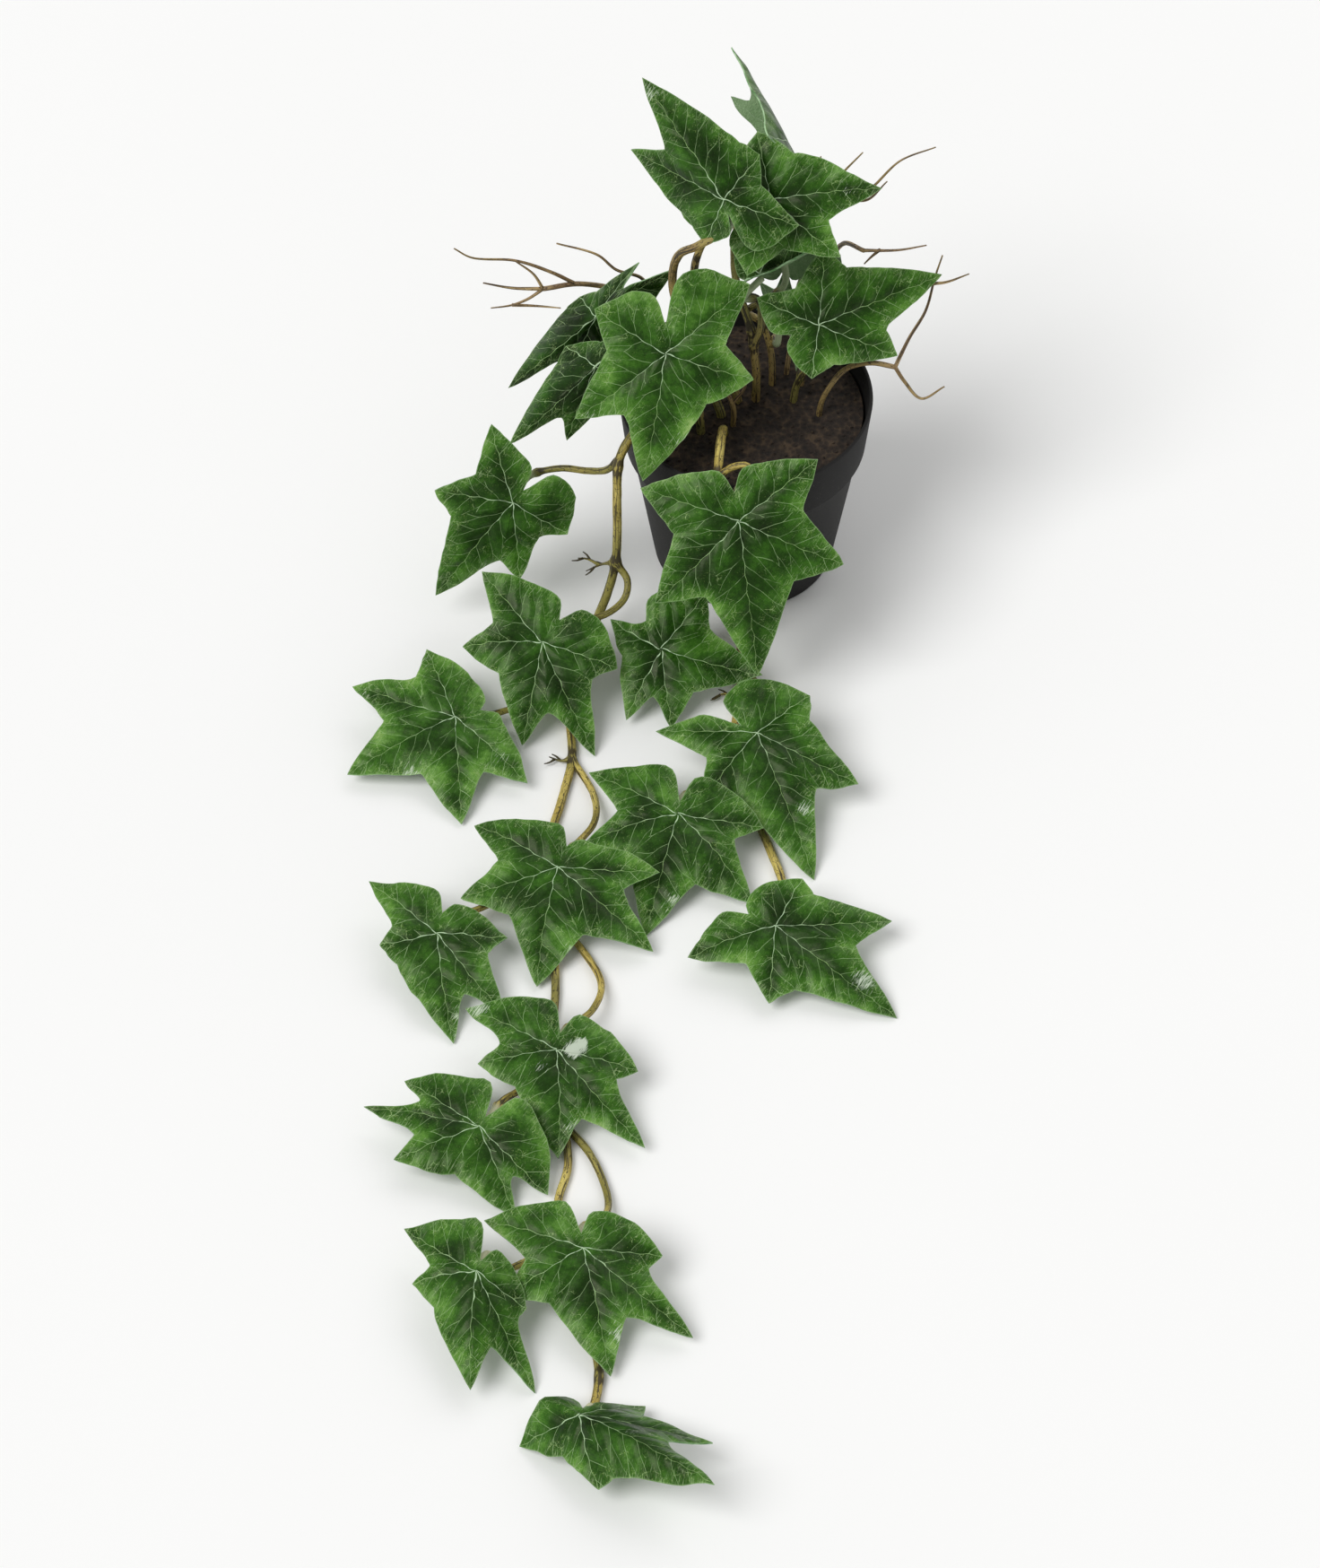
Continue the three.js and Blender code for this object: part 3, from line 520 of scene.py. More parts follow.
def net_places(mesh):
    """The places of a flat net's vertices, one row each."""
    places = np.empty(len(mesh.vertices) * 3)
    mesh.vertices.foreach_get("co", places)
    return places.reshape(-1, 3)


def note_values(mesh, **notes):
    """Stores values for the materials to read, one per vertex, each list under its name."""
    for label, values in notes.items():
        data = mesh.attributes.new(label, "FLOAT", "POINT").data
        data.foreach_set("value", np.asarray(values, np.float32))


def finish_piece(piece, node, slot, *materials):
    """Gives a piece its materials and its place on the part. The slot is not used."""
    piece.name = node + "_shown"
    piece.data.name = piece.name
    for material in materials:
        piece.data.materials.append(material)
    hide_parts(node)
    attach(piece, "root")


def add_node(tree, kind, *values, **features):
    """Adds one shader node, sets its features, and fills or links its open sockets: plain values in
    the sockets' order, and those of a dict by name."""
    made = tree.nodes.new("ShaderNode" + kind)
    for feature, value in features.items():
        setattr(made, feature, value)
    sockets = (socket for socket in made.inputs if not socket.is_unavailable)
    fills = []
    for value in values:
        if isinstance(value, dict):
            fills += [(made.inputs[name], part) for name, part in value.items()]
        else:
            fills.append((next(sockets), value))
    for socket, value in fills:
        if isinstance(value, bpy.types.Node):
            value = next(out for out in value.outputs if not out.is_unavailable)
        if isinstance(value, bpy.types.NodeSocket):
            tree.links.new(value, socket)
        else:
            socket.default_value = value
    return made


def new_material(name):
    """An empty node material, and the function that adds nodes to it."""
    material = bpy.data.materials.new(name)
    material.use_nodes = True
    material.node_tree.nodes.clear()
    return material, partial(add_node, material.node_tree)


def set_ramp(ramp, stops):
    """Sets the stops of a colour ramp from places and hex colours."""
    elements = ramp.color_ramp.elements
    while len(elements) < len(stops):
        elements.new(0.5)
    for element, (place, code) in zip(elements, stops):
        element.position = place
        element.color = paint(code)


# ---------------------------------------------------------------- materials


def printed_veins(add):
    """The vein drawing shared by both faces of a leaf: masks of the main, side and net veins."""
    drawn = add("UVMap", uv_map="veins")
    axes = add("SeparateXYZ", drawn)
    sheet = add("UVMap", uv_map="sheet")
    margin = add("Attribute", attribute_name="margin").outputs["Fac"]
    reach = add("Attribute", attribute_name="reach").outputs["Fac"]
    # Vein lines wander by about a quarter of a millimetre over 9 mm.
    wander = add("TexNoise", sheet, 0.11, 1.0, 0.45)
    drift = add("SeparateXYZ", wander.outputs["Color"])
    sideways = add("Math", drift.outputs["X"], 1.3, -0.65, operation="MULTIPLY_ADD")
    lean = add("Math", drift.outputs["Y"], 3.6, -1.8, operation="MULTIPLY_ADD")
    along = add("Math", axes.outputs["X"], lean, operation="ADD")
    # Side veins leave the main ones in turn left and right.
    turn = add("Math", along, 1 / SIDE_VEIN_STEP, operation="MULTIPLY")
    # A main vein bends 0.25 mm towards each side vein.
    phase = add("Math", turn, 2 * math.pi, operation="MULTIPLY")
    swing = add("Math", phase, operation="COSINE")
    hand = add("Math", axes.outputs["Y"], operation="SIGN")
    swung = add("Math", swing, hand, operation="MULTIPLY")
    zigzag = add("Math", swung, 0.25, sideways, operation="MULTIPLY_ADD")
    across = add("Math", axes.outputs["Y"], zigzag, operation="ADD")
    off = add("Math", across, operation="ABSOLUTE")
    # Main veins: 0.3 mm wide at the junction, a hair at the tips.
    half = add("MapRange", reach, 0.0, 30.0, 0.15, 0.02)
    outer = add("Math", half, 0.1, operation="ADD")
    inner = add("Math", half, 0.5, operation="MULTIPLY")
    main = add("MapRange", off, inner, outer, 1.0, 0.0, interpolation_type="SMOOTHSTEP")
    # Each side vein has its own strength and forks at its own distance from the main vein.
    cell = add("Math", turn, operation="FLOOR")
    chance = add("TexWhiteNoise", {"W": cell}, noise_dimensions="1D")
    chances = add("SeparateXYZ", chance.outputs["Color"])
    part = add("Math", turn, operation="FRACT")
    centred = add("Math", part, 0.5, operation="SUBTRACT")
    near = add("Math", centred, operation="ABSOLUTE")
    away = add("Math", axes.outputs["Y"], operation="ABSOLUTE")
    fork_at = add("MapRange", chances.outputs["X"], 0.0, 1.0, 2.5, 9.0)
    opened = add("Math", away, fork_at, operation="SUBTRACT")
    parted = add("Math", opened, 0.0, operation="MAXIMUM")
    near_mm = add("Math", near, 4.9, operation="MULTIPLY")
    beside = add("Math", parted, -0.42, near_mm, operation="MULTIPLY_ADD")
    side_off = add("Math", beside, operation="ABSOLUTE")
    side = add("MapRange", side_off, 0.0, 0.14, 1.0, 0.0, interpolation_type="SMOOTHSTEP")
    strength = add("MapRange", chances.outputs["Y"], 0.0, 1.0, 0.4, 1.0)
    faded = add("MapRange", away, 4.0, 16.0, 1.0, 0.5)
    beyond = add("MapRange", reach, 2.0, 5.0, interpolation_type="SMOOTHSTEP")
    gaps = add("TexNoise", sheet, 0.33, 1.0)
    unbroken = add("MapRange", gaps, 0.3, 0.48, 0.2, interpolation_type="SMOOTHSTEP")
    for share in (strength, faded, beyond, unbroken):
        side = add("Math", side, share, operation="MULTIPLY")
    # Net of broken squiggles in patches of 5 mm, meshes 4 mm wide, drawn 0.2 mm thick so that it shows.
    squiggle = add("TexNoise", sheet, 0.55, 2.0)
    shift = add("VectorMath", squiggle.outputs["Color"], (2.2, 2.2, 0.0), operation="MULTIPLY")
    bent = add("VectorMath", sheet, shift, operation="ADD")
    net = add(
        "TexVoronoi", {"Vector": bent, "Scale": 0.26, "Randomness": 1.0}, voronoi_dimensions="2D",
        feature="DISTANCE_TO_EDGE",
    )
    thread = add("MapRange", net, 0.004, 0.036, 1.0, 0.0, interpolation_type="SMOOTHSTEP")
    patches = add("TexNoise", sheet, 0.21, 3.0, 0.65)
    rimward = add("MapRange", margin, 1.0, 13.0, 0.1, -0.08)
    shown = add("Math", patches, rimward, operation="ADD")
    scattered = add("MapRange", shown, 0.54, 0.7, interpolation_type="SMOOTHSTEP")
    net_drawn = add("Math", thread, scattered, operation="MULTIPLY")
    return {
        "sheet": sheet, "margin": margin, "off": off, "main": main, "side": side, "net": net_drawn,
        "near": near, "along": along, "patches": shown, "reach": reach,
    }


def upper_leaf():
    """Moulded polyester leaf, printed and lightly waxed: deep green with yellow-green mottling towards
    the margin, pale veins in shallow grooves, and a satin sheen on the puckers between them. Painted
    light in the colour: a margin made paler partly as painted sheen, painted shade beside the veins,
    and a painted white highlight among the rub marks."""
    material, add = new_material("waxed_leaf_print")
    veins = printed_veins(add)
    tone = add("Attribute", attribute_name="tone").outputs["Fac"]
    rub = add("Attribute", attribute_name="rub").outputs["Fac"]
    # Clouds of colour 13 mm wide, and the cloth's grain, drawn 1.1 mm coarse so that it shows.
    broad = add("TexNoise", veins["sheet"], 0.075, 3.0, 0.6)
    grain = add("TexNoise", veins["sheet"], 0.9, 3.0, 0.7)
    # Fine strokes that follow the side veins, about 0.9 mm apart.
    stroke_turn = add("Math", veins["along"], 6.9, operation="MULTIPLY")
    stroke_sway = add("Math", grain, 5.0, stroke_turn, operation="MULTIPLY_ADD")
    strokes = add("Math", stroke_sway, operation="SINE")
    # Painted light: the blade turns paler within 9 mm of the margin, partly the print's yellowing and partly a
    # painted sheen.
    margin_yellowing_and_painted_sheen = add("MapRange", veins["margin"], 0.0, 9.0, 0.22, -0.03)
    # Painted shade: the blade is darkened within 4 mm of each main vein, where its groove lies.
    painted_vein_groove_shade = add("MapRange", veins["off"], 0.0, 4.0, -0.08, 0.0, interpolation_type="SMOOTHSTEP")
    fine = add("Math", grain, 0.4, -0.2, operation="MULTIPLY_ADD")
    level = add("Math", broad, 1.2, -0.26, operation="MULTIPLY_ADD")
    for part in (margin_yellowing_and_painted_sheen, painted_vein_groove_shade, fine):
        level = add("Math", level, part, operation="ADD")
    level = add("Math", strokes, 0.022, level, operation="MULTIPLY_ADD")
    level = add("Math", level, tone, operation="ADD")
    colour = add("ValToRGB", level)
    set_ramp(colour, [
        (0.0, "#0a1f03"), (0.28, "#1a3c08"), (0.5, "#335f17"), (0.72, "#5c8a36"), (0.95, "#a0bb72"),
    ])
    # Yellow-green specks of 0.5 mm in patches, thickest near the margin.
    specks = add("TexNoise", veins["sheet"], 2.1, 2.0, 0.6)
    speck_sum = add("Math", veins["patches"], 0.5, specks, operation="MULTIPLY_ADD")
    speck_mask = add("MapRange", speck_sum, 0.88, 1.0, 0.0, 0.36, interpolation_type="SMOOTHSTEP")
    # The main veins are whitish at the junction and turn yellow-green within 20 mm.
    outward = add("MapRange", veins["reach"], 4.0, 20.0)
    vein_paint = (*bpy.context.scene.ivy_leaves.vein_colour, 1.0)
    vein_tint = add("Mix", outward, vein_paint, paint("#9cc07a"), data_type="RGBA")
    net, side, main = (
        add("Math", veins[drawn], strength, operation="MULTIPLY")
        for drawn, strength in (("net", 0.5), ("side", 0.66), ("main", 0.85))
    )
    # Rubbed places show the white cloth in short strokes along its threads. The same mask also paints a white
    # highlight near the junction of leaf_trail_09.
    threads = add(
        "Mapping", {"Vector": veins["sheet"], "Rotation": (0.0, 0.0, math.radians(56)),
        "Scale": (3.6, 0.42, 1.0)}, vector_type="TEXTURE",
    )
    streaks = add("TexNoise", threads, 1.0, 3.0, 0.6)
    rub_sum = add("Math", streaks, 2.4, -1.2, operation="MULTIPLY_ADD")
    rub_level = add("Math", rub, rub_sum, operation="ADD")
    bare_cloth_and_glint = add("MapRange", rub_level, 0.56, 0.95, 0.0, 0.8, interpolation_type="SMOOTHSTEP")
    rubbed = add("MapRange", rub, 0.03, 0.2, interpolation_type="SMOOTHSTEP")
    bare_cloth_and_glint = add("Math", bare_cloth_and_glint, rubbed, operation="MULTIPLY")
    # A dusty pale bloom near the margin, drawn out along the threads too.
    dust_edge = add("MapRange", veins["margin"], 0.0, 9.0, 0.1, -0.06)
    dust_sum = add("Math", streaks, dust_edge, operation="ADD")
    dust = add("MapRange", dust_sum, 0.58, 0.8, 0.0, 0.42, interpolation_type="SMOOTHSTEP")
    # A hairline of bare cloth along the cut margin.
    rim = add("MapRange", veins["margin"], 0.1, 0.4, 0.5, 0.0)
    # The layers of the print, its wear and a painted highlight, from the lowest up.
    for share, layer in (
        (speck_mask, paint("#9db868")), (net, paint("#b2cf8e")), (side, paint("#b1d096")), (main, vein_tint),
        (bare_cloth_and_glint, paint("#cdd8c6")), (dust, paint("#b3ca96")), (rim, paint("#8fb078")),
    ):
        colour = add("Mix", share, colour, layer, data_type="RGBA")
    # Relief in millimetres: puckers between the side veins, grooves along the veins, fine grain.
    relief = add("MapRange", veins["near"], 0.0, 0.5, 0.0, 0.3, interpolation_type="SMOOTHSTEP")
    for drawn, depth in (("main", -0.12), ("side", -0.08), ("net", -0.03)):
        relief = add("Math", veins[drawn], depth, relief, operation="MULTIPLY_ADD")
    relief = add("Math", grain, 0.09, relief, operation="MULTIPLY_ADD")
    bump = add("Bump", {"Height": relief, "Distance": MM, "Strength": 0.85})
    rough = add("MapRange", grain, 0.3, 0.7, 0.3, 0.42)
    rough = add("Math", bare_cloth_and_glint, 0.3, rough, operation="MULTIPLY_ADD")
    skin = add(
        "BsdfPrincipled", {"Base Color": colour, "Roughness": rough, "Normal": bump,
        "IOR": 1.4, "Specular IOR Level": 0.4, "Specular Tint": paint("#e2ecc6")},
    )
    add("OutputMaterial", skin)
    return material


def under_leaf():
    """The unprinted back of the leaf cloth: dull grey-green, with the veins standing up a little."""
    material, add = new_material("leaf_cloth_back")
    veins = printed_veins(add)
    # Clouds 8 mm wide, and a weave drawn 0.7 mm coarse so that it shows.
    broad = add("TexNoise", veins["sheet"], 0.12, 3.0, 0.6)
    weave = add("TexNoise", veins["sheet"], 1.4, 2.0, 0.6)
    tint = add("Math", weave, 0.35, broad, operation="MULTIPLY_ADD")
    shade = add("MapRange", tint, 0.45, 0.95)
    look = bpy.context.scene.ivy_leaves
    cloth = add("Mix", shade, paint("#6a8a5b"), (*look.under_colour, 1.0), data_type="RGBA")
    lines = add("Math", veins["main"], veins["side"], operation="MAXIMUM")
    share = add("Math", lines, 0.4, operation="MULTIPLY")
    ribbed = add("Mix", share, cloth, paint("#b4c9a6"), data_type="RGBA")
    ribs = add("Math", veins["main"], 0.25, weave, operation="MULTIPLY_ADD")
    ribs_side = add("Math", veins["side"], 0.12, ribs, operation="MULTIPLY_ADD")
    bump = add("Bump", {"Height": ribs_side, "Distance": MM, "Strength": 0.5})
    skin = add(
        "BsdfPrincipled", {"Base Color": ribbed, "Roughness": 0.62, "Normal": bump,
        "IOR": 1.46},
    )
    add("OutputMaterial", skin)
    return material


def cut_leaf():
    """The die-cut edge of the leaf: whitish green where the cloth shows through the print."""
    material, add = new_material("leaf_cut_edge")
    place = add("TexCoord")
    # Patches 4 mm long.
    patchy = add("TexNoise", place.outputs["Object"], 260.0, 2.0)
    share = add("MapRange", patchy, 0.35, 0.65)
    edge = add("Mix", share, paint("#4d7d42"), paint("#a9c99c"), data_type="RGBA")
    skin = add("BsdfPrincipled", {"Base Color": edge, "Roughness": 0.6})
    add("OutputMaterial", skin)
    return material


def moulded_cane(name, ground, light, zone_tint, dark, socket):
    """Moulded and hand-tinted polythene cane: a matt ground with long dark brush streaks, specks and
    stained knuckles, and a pale bare sleeve where a leaf is plugged in."""
    material, add = new_material(name)
    bark = add("UVMap", uv_map="bark")
    pale = add("Attribute", attribute_name="pale").outputs["Fac"]
    stain = add("Attribute", attribute_name="stain").outputs["Fac"]
    place = add("TexCoord")
    # Brush streaks: 0.9 mm wide, 20 mm long.
    drawn_out = add("Mapping", {"Vector": bark, "Scale": (1.1, 0.05, 1.0)})
    streaks = add("TexNoise", drawn_out, 1.0, 3.0, 0.6, noise_dimensions="2D")
    # Broad changes of tint every 12 mm, and specks in a grain of 1.1 mm.
    broad = add("TexNoise", place.outputs["Object"], 85.0, 2.0)
    specks = add("TexNoise", place.outputs["Object"], 900.0, 2.0)
    lit = add("MapRange", broad, 0.35, 0.65, interpolation_type="SMOOTHSTEP")
    # Greenish stretches some 30 mm long, and thin dark outlines of scars, 2 mm by 4 mm.
    zones = add("TexNoise", place.outputs["Object"], 30.0, 1.0)
    zone = add("MapRange", zones, 0.44, 0.58, 0.0, 0.8, interpolation_type="SMOOTHSTEP")
    scar_place = add("Mapping", {"Vector": bark, "Scale": (0.5, 0.28, 1.0)})
    scars = add("TexNoise", scar_place, 1.0, 1.0, noise_dimensions="2D")
    level = add("Math", scars, 0.56, operation="SUBTRACT")
    from_level = add("Math", level, operation="ABSOLUTE")
    scar_mask = add("MapRange", from_level, 0.012, 0.03, 0.9, 0.0, interpolation_type="SMOOTHSTEP")
    stained = add("Math", stain, 0.22, streaks, operation="MULTIPLY_ADD")
    streak_mask = add("MapRange", stained, 0.55, 0.61, 0.0, 0.9, interpolation_type="SMOOTHSTEP")
    speck_mask = add("MapRange", specks, 0.66, 0.74, 0.0, 0.8, interpolation_type="SMOOTHSTEP")
    lines = add("Math", streak_mask, scar_mask, operation="MAXIMUM")
    marks = add("Math", lines, speck_mask, operation="MAXIMUM")
    bareness = add("Math", 1.0, pale, operation="SUBTRACT")
    marks = add("Math", marks, bareness, operation="MULTIPLY")
    sleeve = add("Math", pale, 0.86, operation="MULTIPLY")
    colour = ground
    for share, layer in ((lit, light), (zone, zone_tint), (marks, dark), (sleeve, socket)):
        colour = add("Mix", share, colour, paint(layer), data_type="RGBA")
    ridges = add("Math", streaks, 0.5, specks, operation="MULTIPLY_ADD")
    bump = add("Bump", {"Height": ridges, "Distance": 0.35 * MM, "Strength": 0.7})
    skin = add(
        "BsdfPrincipled", {"Base Color": colour, "Roughness": 0.55, "Normal": bump,
        "IOR": 1.5},
    )
    add("OutputMaterial", skin)
    return material


def black_plastic():
    """Injection-moulded black polypropylene: matt charcoal with a very fine brushed texture round the
    pot and a few pale specks of dust."""
    material, add = new_material("matt_black_polypropylene")
    place = add("TexCoord")
    # Brushing 0.4 mm high and 7 mm long round the pot, clouds of 22 mm, and dust of 0.7 mm.
    round_pot = add("Mapping", {"Vector": place.outputs["Object"], "Scale": (150.0, 150.0, 2600.0)})
    lines = add("TexNoise", round_pot, 1.0, 3.0, 0.6)
    clouds = add("TexNoise", place.outputs["Object"], 45.0, 3.0)
    dust = add("TexNoise", place.outputs["Object"], 1500.0, 1.0)
    colour = (*bpy.context.scene.ivy_pot.colour, 1.0)
    tint = add("Math", lines, 0.5, clouds, operation="MULTIPLY_ADD")
    shade = add("MapRange", tint, 0.5, 1.0)
    body = add("Mix", shade, colour, paint("#1f1e1d"), data_type="RGBA")
    specks = add("MapRange", dust, 0.72, 0.8, 0.0, 0.5, interpolation_type="SMOOTHSTEP")
    dusty = add("Mix", specks, body, paint("#77736f"), data_type="RGBA")
    relief = add("Math", lines, 1.0, dust, operation="MULTIPLY_ADD")
    bump = add("Bump", {"Height": relief, "Distance": 0.08 * MM, "Strength": 0.6})
    skin = add(
        "BsdfPrincipled", {"Base Color": dusty, "Roughness": 0.7, "Normal": bump,
        "Specular IOR Level": 0.25},
    )
    add("OutputMaterial", skin)
    return material


def potting_soil():
    """Damp peat potting mix: nearly black brown, rough, with lighter crumbs."""
    material, add = new_material("peat_potting_mix")
    place = add("TexCoord")
    # Crumbs of 2 mm in clods of 6 mm.
    crumbs = add("TexVoronoi", {"Vector": place.outputs["Object"], "Scale": 520.0, "Randomness": 1.0})
    clods = add("TexNoise", place.outputs["Object"], 180.0, 5.0)
    tint = add("Math", crumbs.outputs["Distance"], 0.5, clods, operation="MULTIPLY_ADD")
    colour = add("ValToRGB", tint)
    set_ramp(colour, [(0.3, "#0c0907"), (0.55, "#1a130e"), (0.8, "#2b2119"), (1.0, "#463829")])
    bump = add("Bump", {"Height": tint, "Distance": 1.2 * MM, "Strength": 0.9})
    skin = add("BsdfPrincipled", {"Base Color": colour, "Roughness": 0.95, "Normal": bump})
    add("OutputMaterial", skin)
    return material


def studio_paper():
    """Seamless white paper: plain, dull, with a trace of unevenness."""
    material, add = new_material("seamless_paper")
    place = add("TexCoord")
    fibre = add("TexNoise", place.outputs["Object"], 3.0, 2.0)
    paper = add("Mix", fibre, paint("#f4f4f3"), paint("#f7f7f6"), data_type="RGBA")
    skin = add("BsdfPrincipled", {"Base Color": paper, "Roughness": 0.9})
    add("OutputMaterial", skin)
    return material


# ---------------------------------------------------------------- leaf shapes


def polar(bearing, length):
    """A flat point from its bearing in degrees and its distance from the junction."""
    return np.array([math.cos(math.radians(bearing)), math.sin(math.radians(bearing))]) * length


def smooth_line(points, step):
    """A centripetal Catmull-Rom line through the points, with a point about every step."""
    knots = [np.array(p, float) for p in points]
    knots = [2 * knots[0] - knots[1], *knots, 2 * knots[-1] - knots[-2]]
    line = [knots[1]]
    for before, start, end, after in zip(knots, knots[1:], knots[2:], knots[3:]):
        spans = [math.sqrt(np.linalg.norm(b - a)) for a, b in ((before, start), (start, end), (end, after))]
        first, middle, last = (max(s, 1e-4) for s in spans)
        leave = middle * (
            (start - before) / first - (end - before) / (first + middle) + (end - start) / middle
        )
        arrive = middle * (
            (end - start) / middle - (after - start) / (middle + last) + (after - end) / last
        )
        count = max(2, round(np.linalg.norm(end - start) / step))
        for k in range(1, count + 1):
            t = k / count
            line.append(
                start * (2 * t**3 - 3 * t**2 + 1) + leave * (t**3 - 2 * t**2 + t)
                + end * (3 * t**2 - 2 * t**3) + arrive * (t**3 - t**2)
            )
    return np.array(line)


def distances(line):
    """How far along a line each of its points is."""
    return np.r_[0, np.cumsum(np.linalg.norm(np.diff(line, axis=0), axis=1))]


def even_points(line, count):
    """Points at count equal steps along a line, its two ends included."""
    steps = distances(line)
    wanted = np.linspace(0, steps[-1], count + 1)
    return np.stack([np.interp(wanted, steps, line[:, axis]) for axis in range(line.shape[1])], axis=1)


def lobe_edge(tip, sinus, side):
    """The cubic line from a lobe's tip to the sinus beside it, full near the tip."""
    reach = np.linalg.norm(tip - sinus)
    radial = sinus / np.linalg.norm(sinus)
    outward = np.array([-tip[1], tip[0]]) / np.linalg.norm(tip) * side
    tangent = np.array([-radial[1], radial[0]]) * -side
    first = tip + (sinus - tip) * 0.4 + outward * reach * 0.05
    second = sinus + (tangent * 0.2 + radial * 0.09) * reach
    return lambda t: (
        tip * (1 - t) ** 3 + first * 3 * t * (1 - t) ** 2 + second * 3 * t * t * (1 - t) + sinus * t**3
    )


def sinus_between(a, b):
    """The hollow between two lobes."""
    turn = b[0] - a[0]
    depth = 0.64 - 0.0007 * turn
    return polar(a[0] + turn * a[1] / (a[1] + b[1]), (a[1] + b[1]) / 2 * depth)


def ear_edge(tip, notch, fullness):
    """The rounded edge from a basal lobe's tip to the stalk notch."""
    steps = [(0, 1), (0.22, (0.96 + fullness) / 2), (0.5, fullness), (0.8, fullness * 0.84)]
    points = [polar(tip[0] + (notch[0] - tip[0]) * f, max(tip[1] * g, notch[1])) for f, g in steps]
    return even_points(smooth_line([*points, polar(*notch)], 0.4), EAR_SPOKES)


def outline(leaf):
    """The leaf's margin as one flat point per spoke, from the first lobe's tip round to it again."""
    lobes, notch = leaf["lobes"], leaf["notch"]
    ears = leaf.get("ears", (FULL_EAR, FULL_EAR))
    half = LOBE_SPOKES // 2
    points = []
    for a, b in zip(lobes, lobes[1:]):
        sinus = sinus_between(a, b)
        down, up = lobe_edge(polar(*a), sinus, 1), lobe_edge(polar(*b), sinus, -1)
        points += [down(k / half) for k in range(half)]
        points += [up(k / half) for k in range(half, 0, -1)]
    points += list(ear_edge(lobes[4], notch, ears[0])[:-1])
    points += list(ear_edge((lobes[0][0] + 360, lobes[0][1]), notch, ears[1])[:0:-1])
    return np.array(points)


def attitude(leaf):
    """The leaf's own axes: u and v lie in its plane, n is the way its upper face looks."""
    lying = len(leaf["at"]) == 2
    rise = math.radians(leaf.get("rise", FLOOR_RISE if lying else UPRIGHT_RISE))
    yaw = math.radians(leaf.get("yaw", 0))
    v = Vector((0, math.cos(rise), math.sin(rise)))
    face = Vector((0, -math.sin(rise), math.cos(rise)))
    u = Vector((math.cos(yaw), 0, 0)) - face * math.sin(yaw)
    n = Vector((math.sin(yaw), 0, 0)) + face * math.cos(yaw)
    front = Vector((0, -math.sqrt(0.5), math.sqrt(0.5)))
    roll = Matrix.Rotation(math.radians(leaf.get("roll", 0)), 3, front)
    u, v, n = (np.array(roll @ axis) for axis in (u, v, n))
    return u, v, (-n if leaf.get("under") else n)


def plain_surface(leaf, axes, flat):
    """Points of the leaf's plain middle surface, with its fold and droop, about the junction."""
    u, v, n = axes
    middle = polar(leaf["lobes"][2][0], 1)
    fold = math.radians(leaf.get("fold", 0))
    along = flat @ middle
    across = middle[0] * flat[:, 1] - middle[1] * flat[:, 0]
    kept = across * math.cos(fold)
    x = along * middle[0] - kept * middle[1]
    y = along * middle[1] + kept * middle[0]
    droop = DROOP * (flat**2).sum(axis=1) / 1600
    w = -np.abs(across) * math.sin(fold) - droop
    return x[:, None] * u + y[:, None] * v + w[:, None] * n


def junction(leaf):
    """Where the vein junction stands in the CAD part."""
    if len(leaf["at"]) == 3:
        return np.array(leaf["at"], float)
    edge = outline(leaf)
    low = plain_surface(leaf, attitude(leaf), edge)[:, 2].min()
    return np.array([*leaf["at"], FLOOR_CLEAR + PLATE / 2 - low + leaf.get("lift", 0)])


def stalk_end(name):
    """The end of the leaf's stalk under its junction, and the way into it."""
    leaf = LEAVES[name]
    u, v, n = attitude(leaf)
    depth = (SOCKET_R + PLATE / 2 + GAP) / math.cos(math.radians(max(0, leaf.get("fold", 0))))
    end = junction(leaf) - n * depth
    away = polar(leaf["notch"][0], 1)
    lead = end + u * away[0] * 9 + v * away[1] * 9 - n * 4.5
    lead[2] = max(lead[2], 1.8)
    return [tuple(lead), tuple(end)]


def wobble(points, scale, seed):
    """Smooth noise between -1 and 1 at flat points, with features of about scale millimetres."""
    return np.array([noise.noise(Vector((p[0] / scale, p[1] / scale, seed))) for p in points])


def leaf_pattern():
    """A flat round net with one spoke per margin point, from which every leaf is pressed."""
    clear_selection()
    bpy.ops.mesh.primitive_circle_add(vertices=SPOKES, radius=1, fill_type="NOTHING", location=(0, 0, 0))
    pattern = bpy.context.object
    pattern.name = "leaf_pattern"
    with edit_mode(pattern):
        for outer, inner in zip(RINGS, RINGS[1:]):
            bpy.ops.mesh.extrude_region_move()
            bpy.ops.transform.resize(value=(inner / outer,) * 3)
        bpy.ops.mesh.extrude_region_move()
        bpy.ops.mesh.merge(type="CENTER")
        bpy.ops.mesh.select_all(action="SELECT")
        bpy.ops.mesh.normals_make_consistent(inside=False)
    if pattern.data.polygons[0].normal.z < 0:
        with edit_mode(pattern):
            bpy.ops.mesh.flip_normals()
    return pattern


def nearest_lobe(spoke):
    """The lobe whose main vein serves a place between two spokes, and which side of it that is."""
    place = spoke % SPOKES
    if place > 4 * LOBE_SPOKES + EAR_SPOKES:
        return 0, -1
    lobe = min(4, round(place / LOBE_SPOKES))
    return lobe, (1 if place > lobe * LOBE_SPOKES else -1)


def margin_distance(points, edge):
    """The distance of each flat point from the margin."""
    start, span = edge, np.roll(edge, -1, axis=0) - edge
    best = np.full(len(points), 1e9)
    for a, d in zip(start, span):
        t = np.clip(((points - a) @ d) / max(d @ d, 1e-9), 0, 1)
        best = np.minimum(best, np.linalg.norm(points - a - t[:, None] * d, axis=1))
    return best


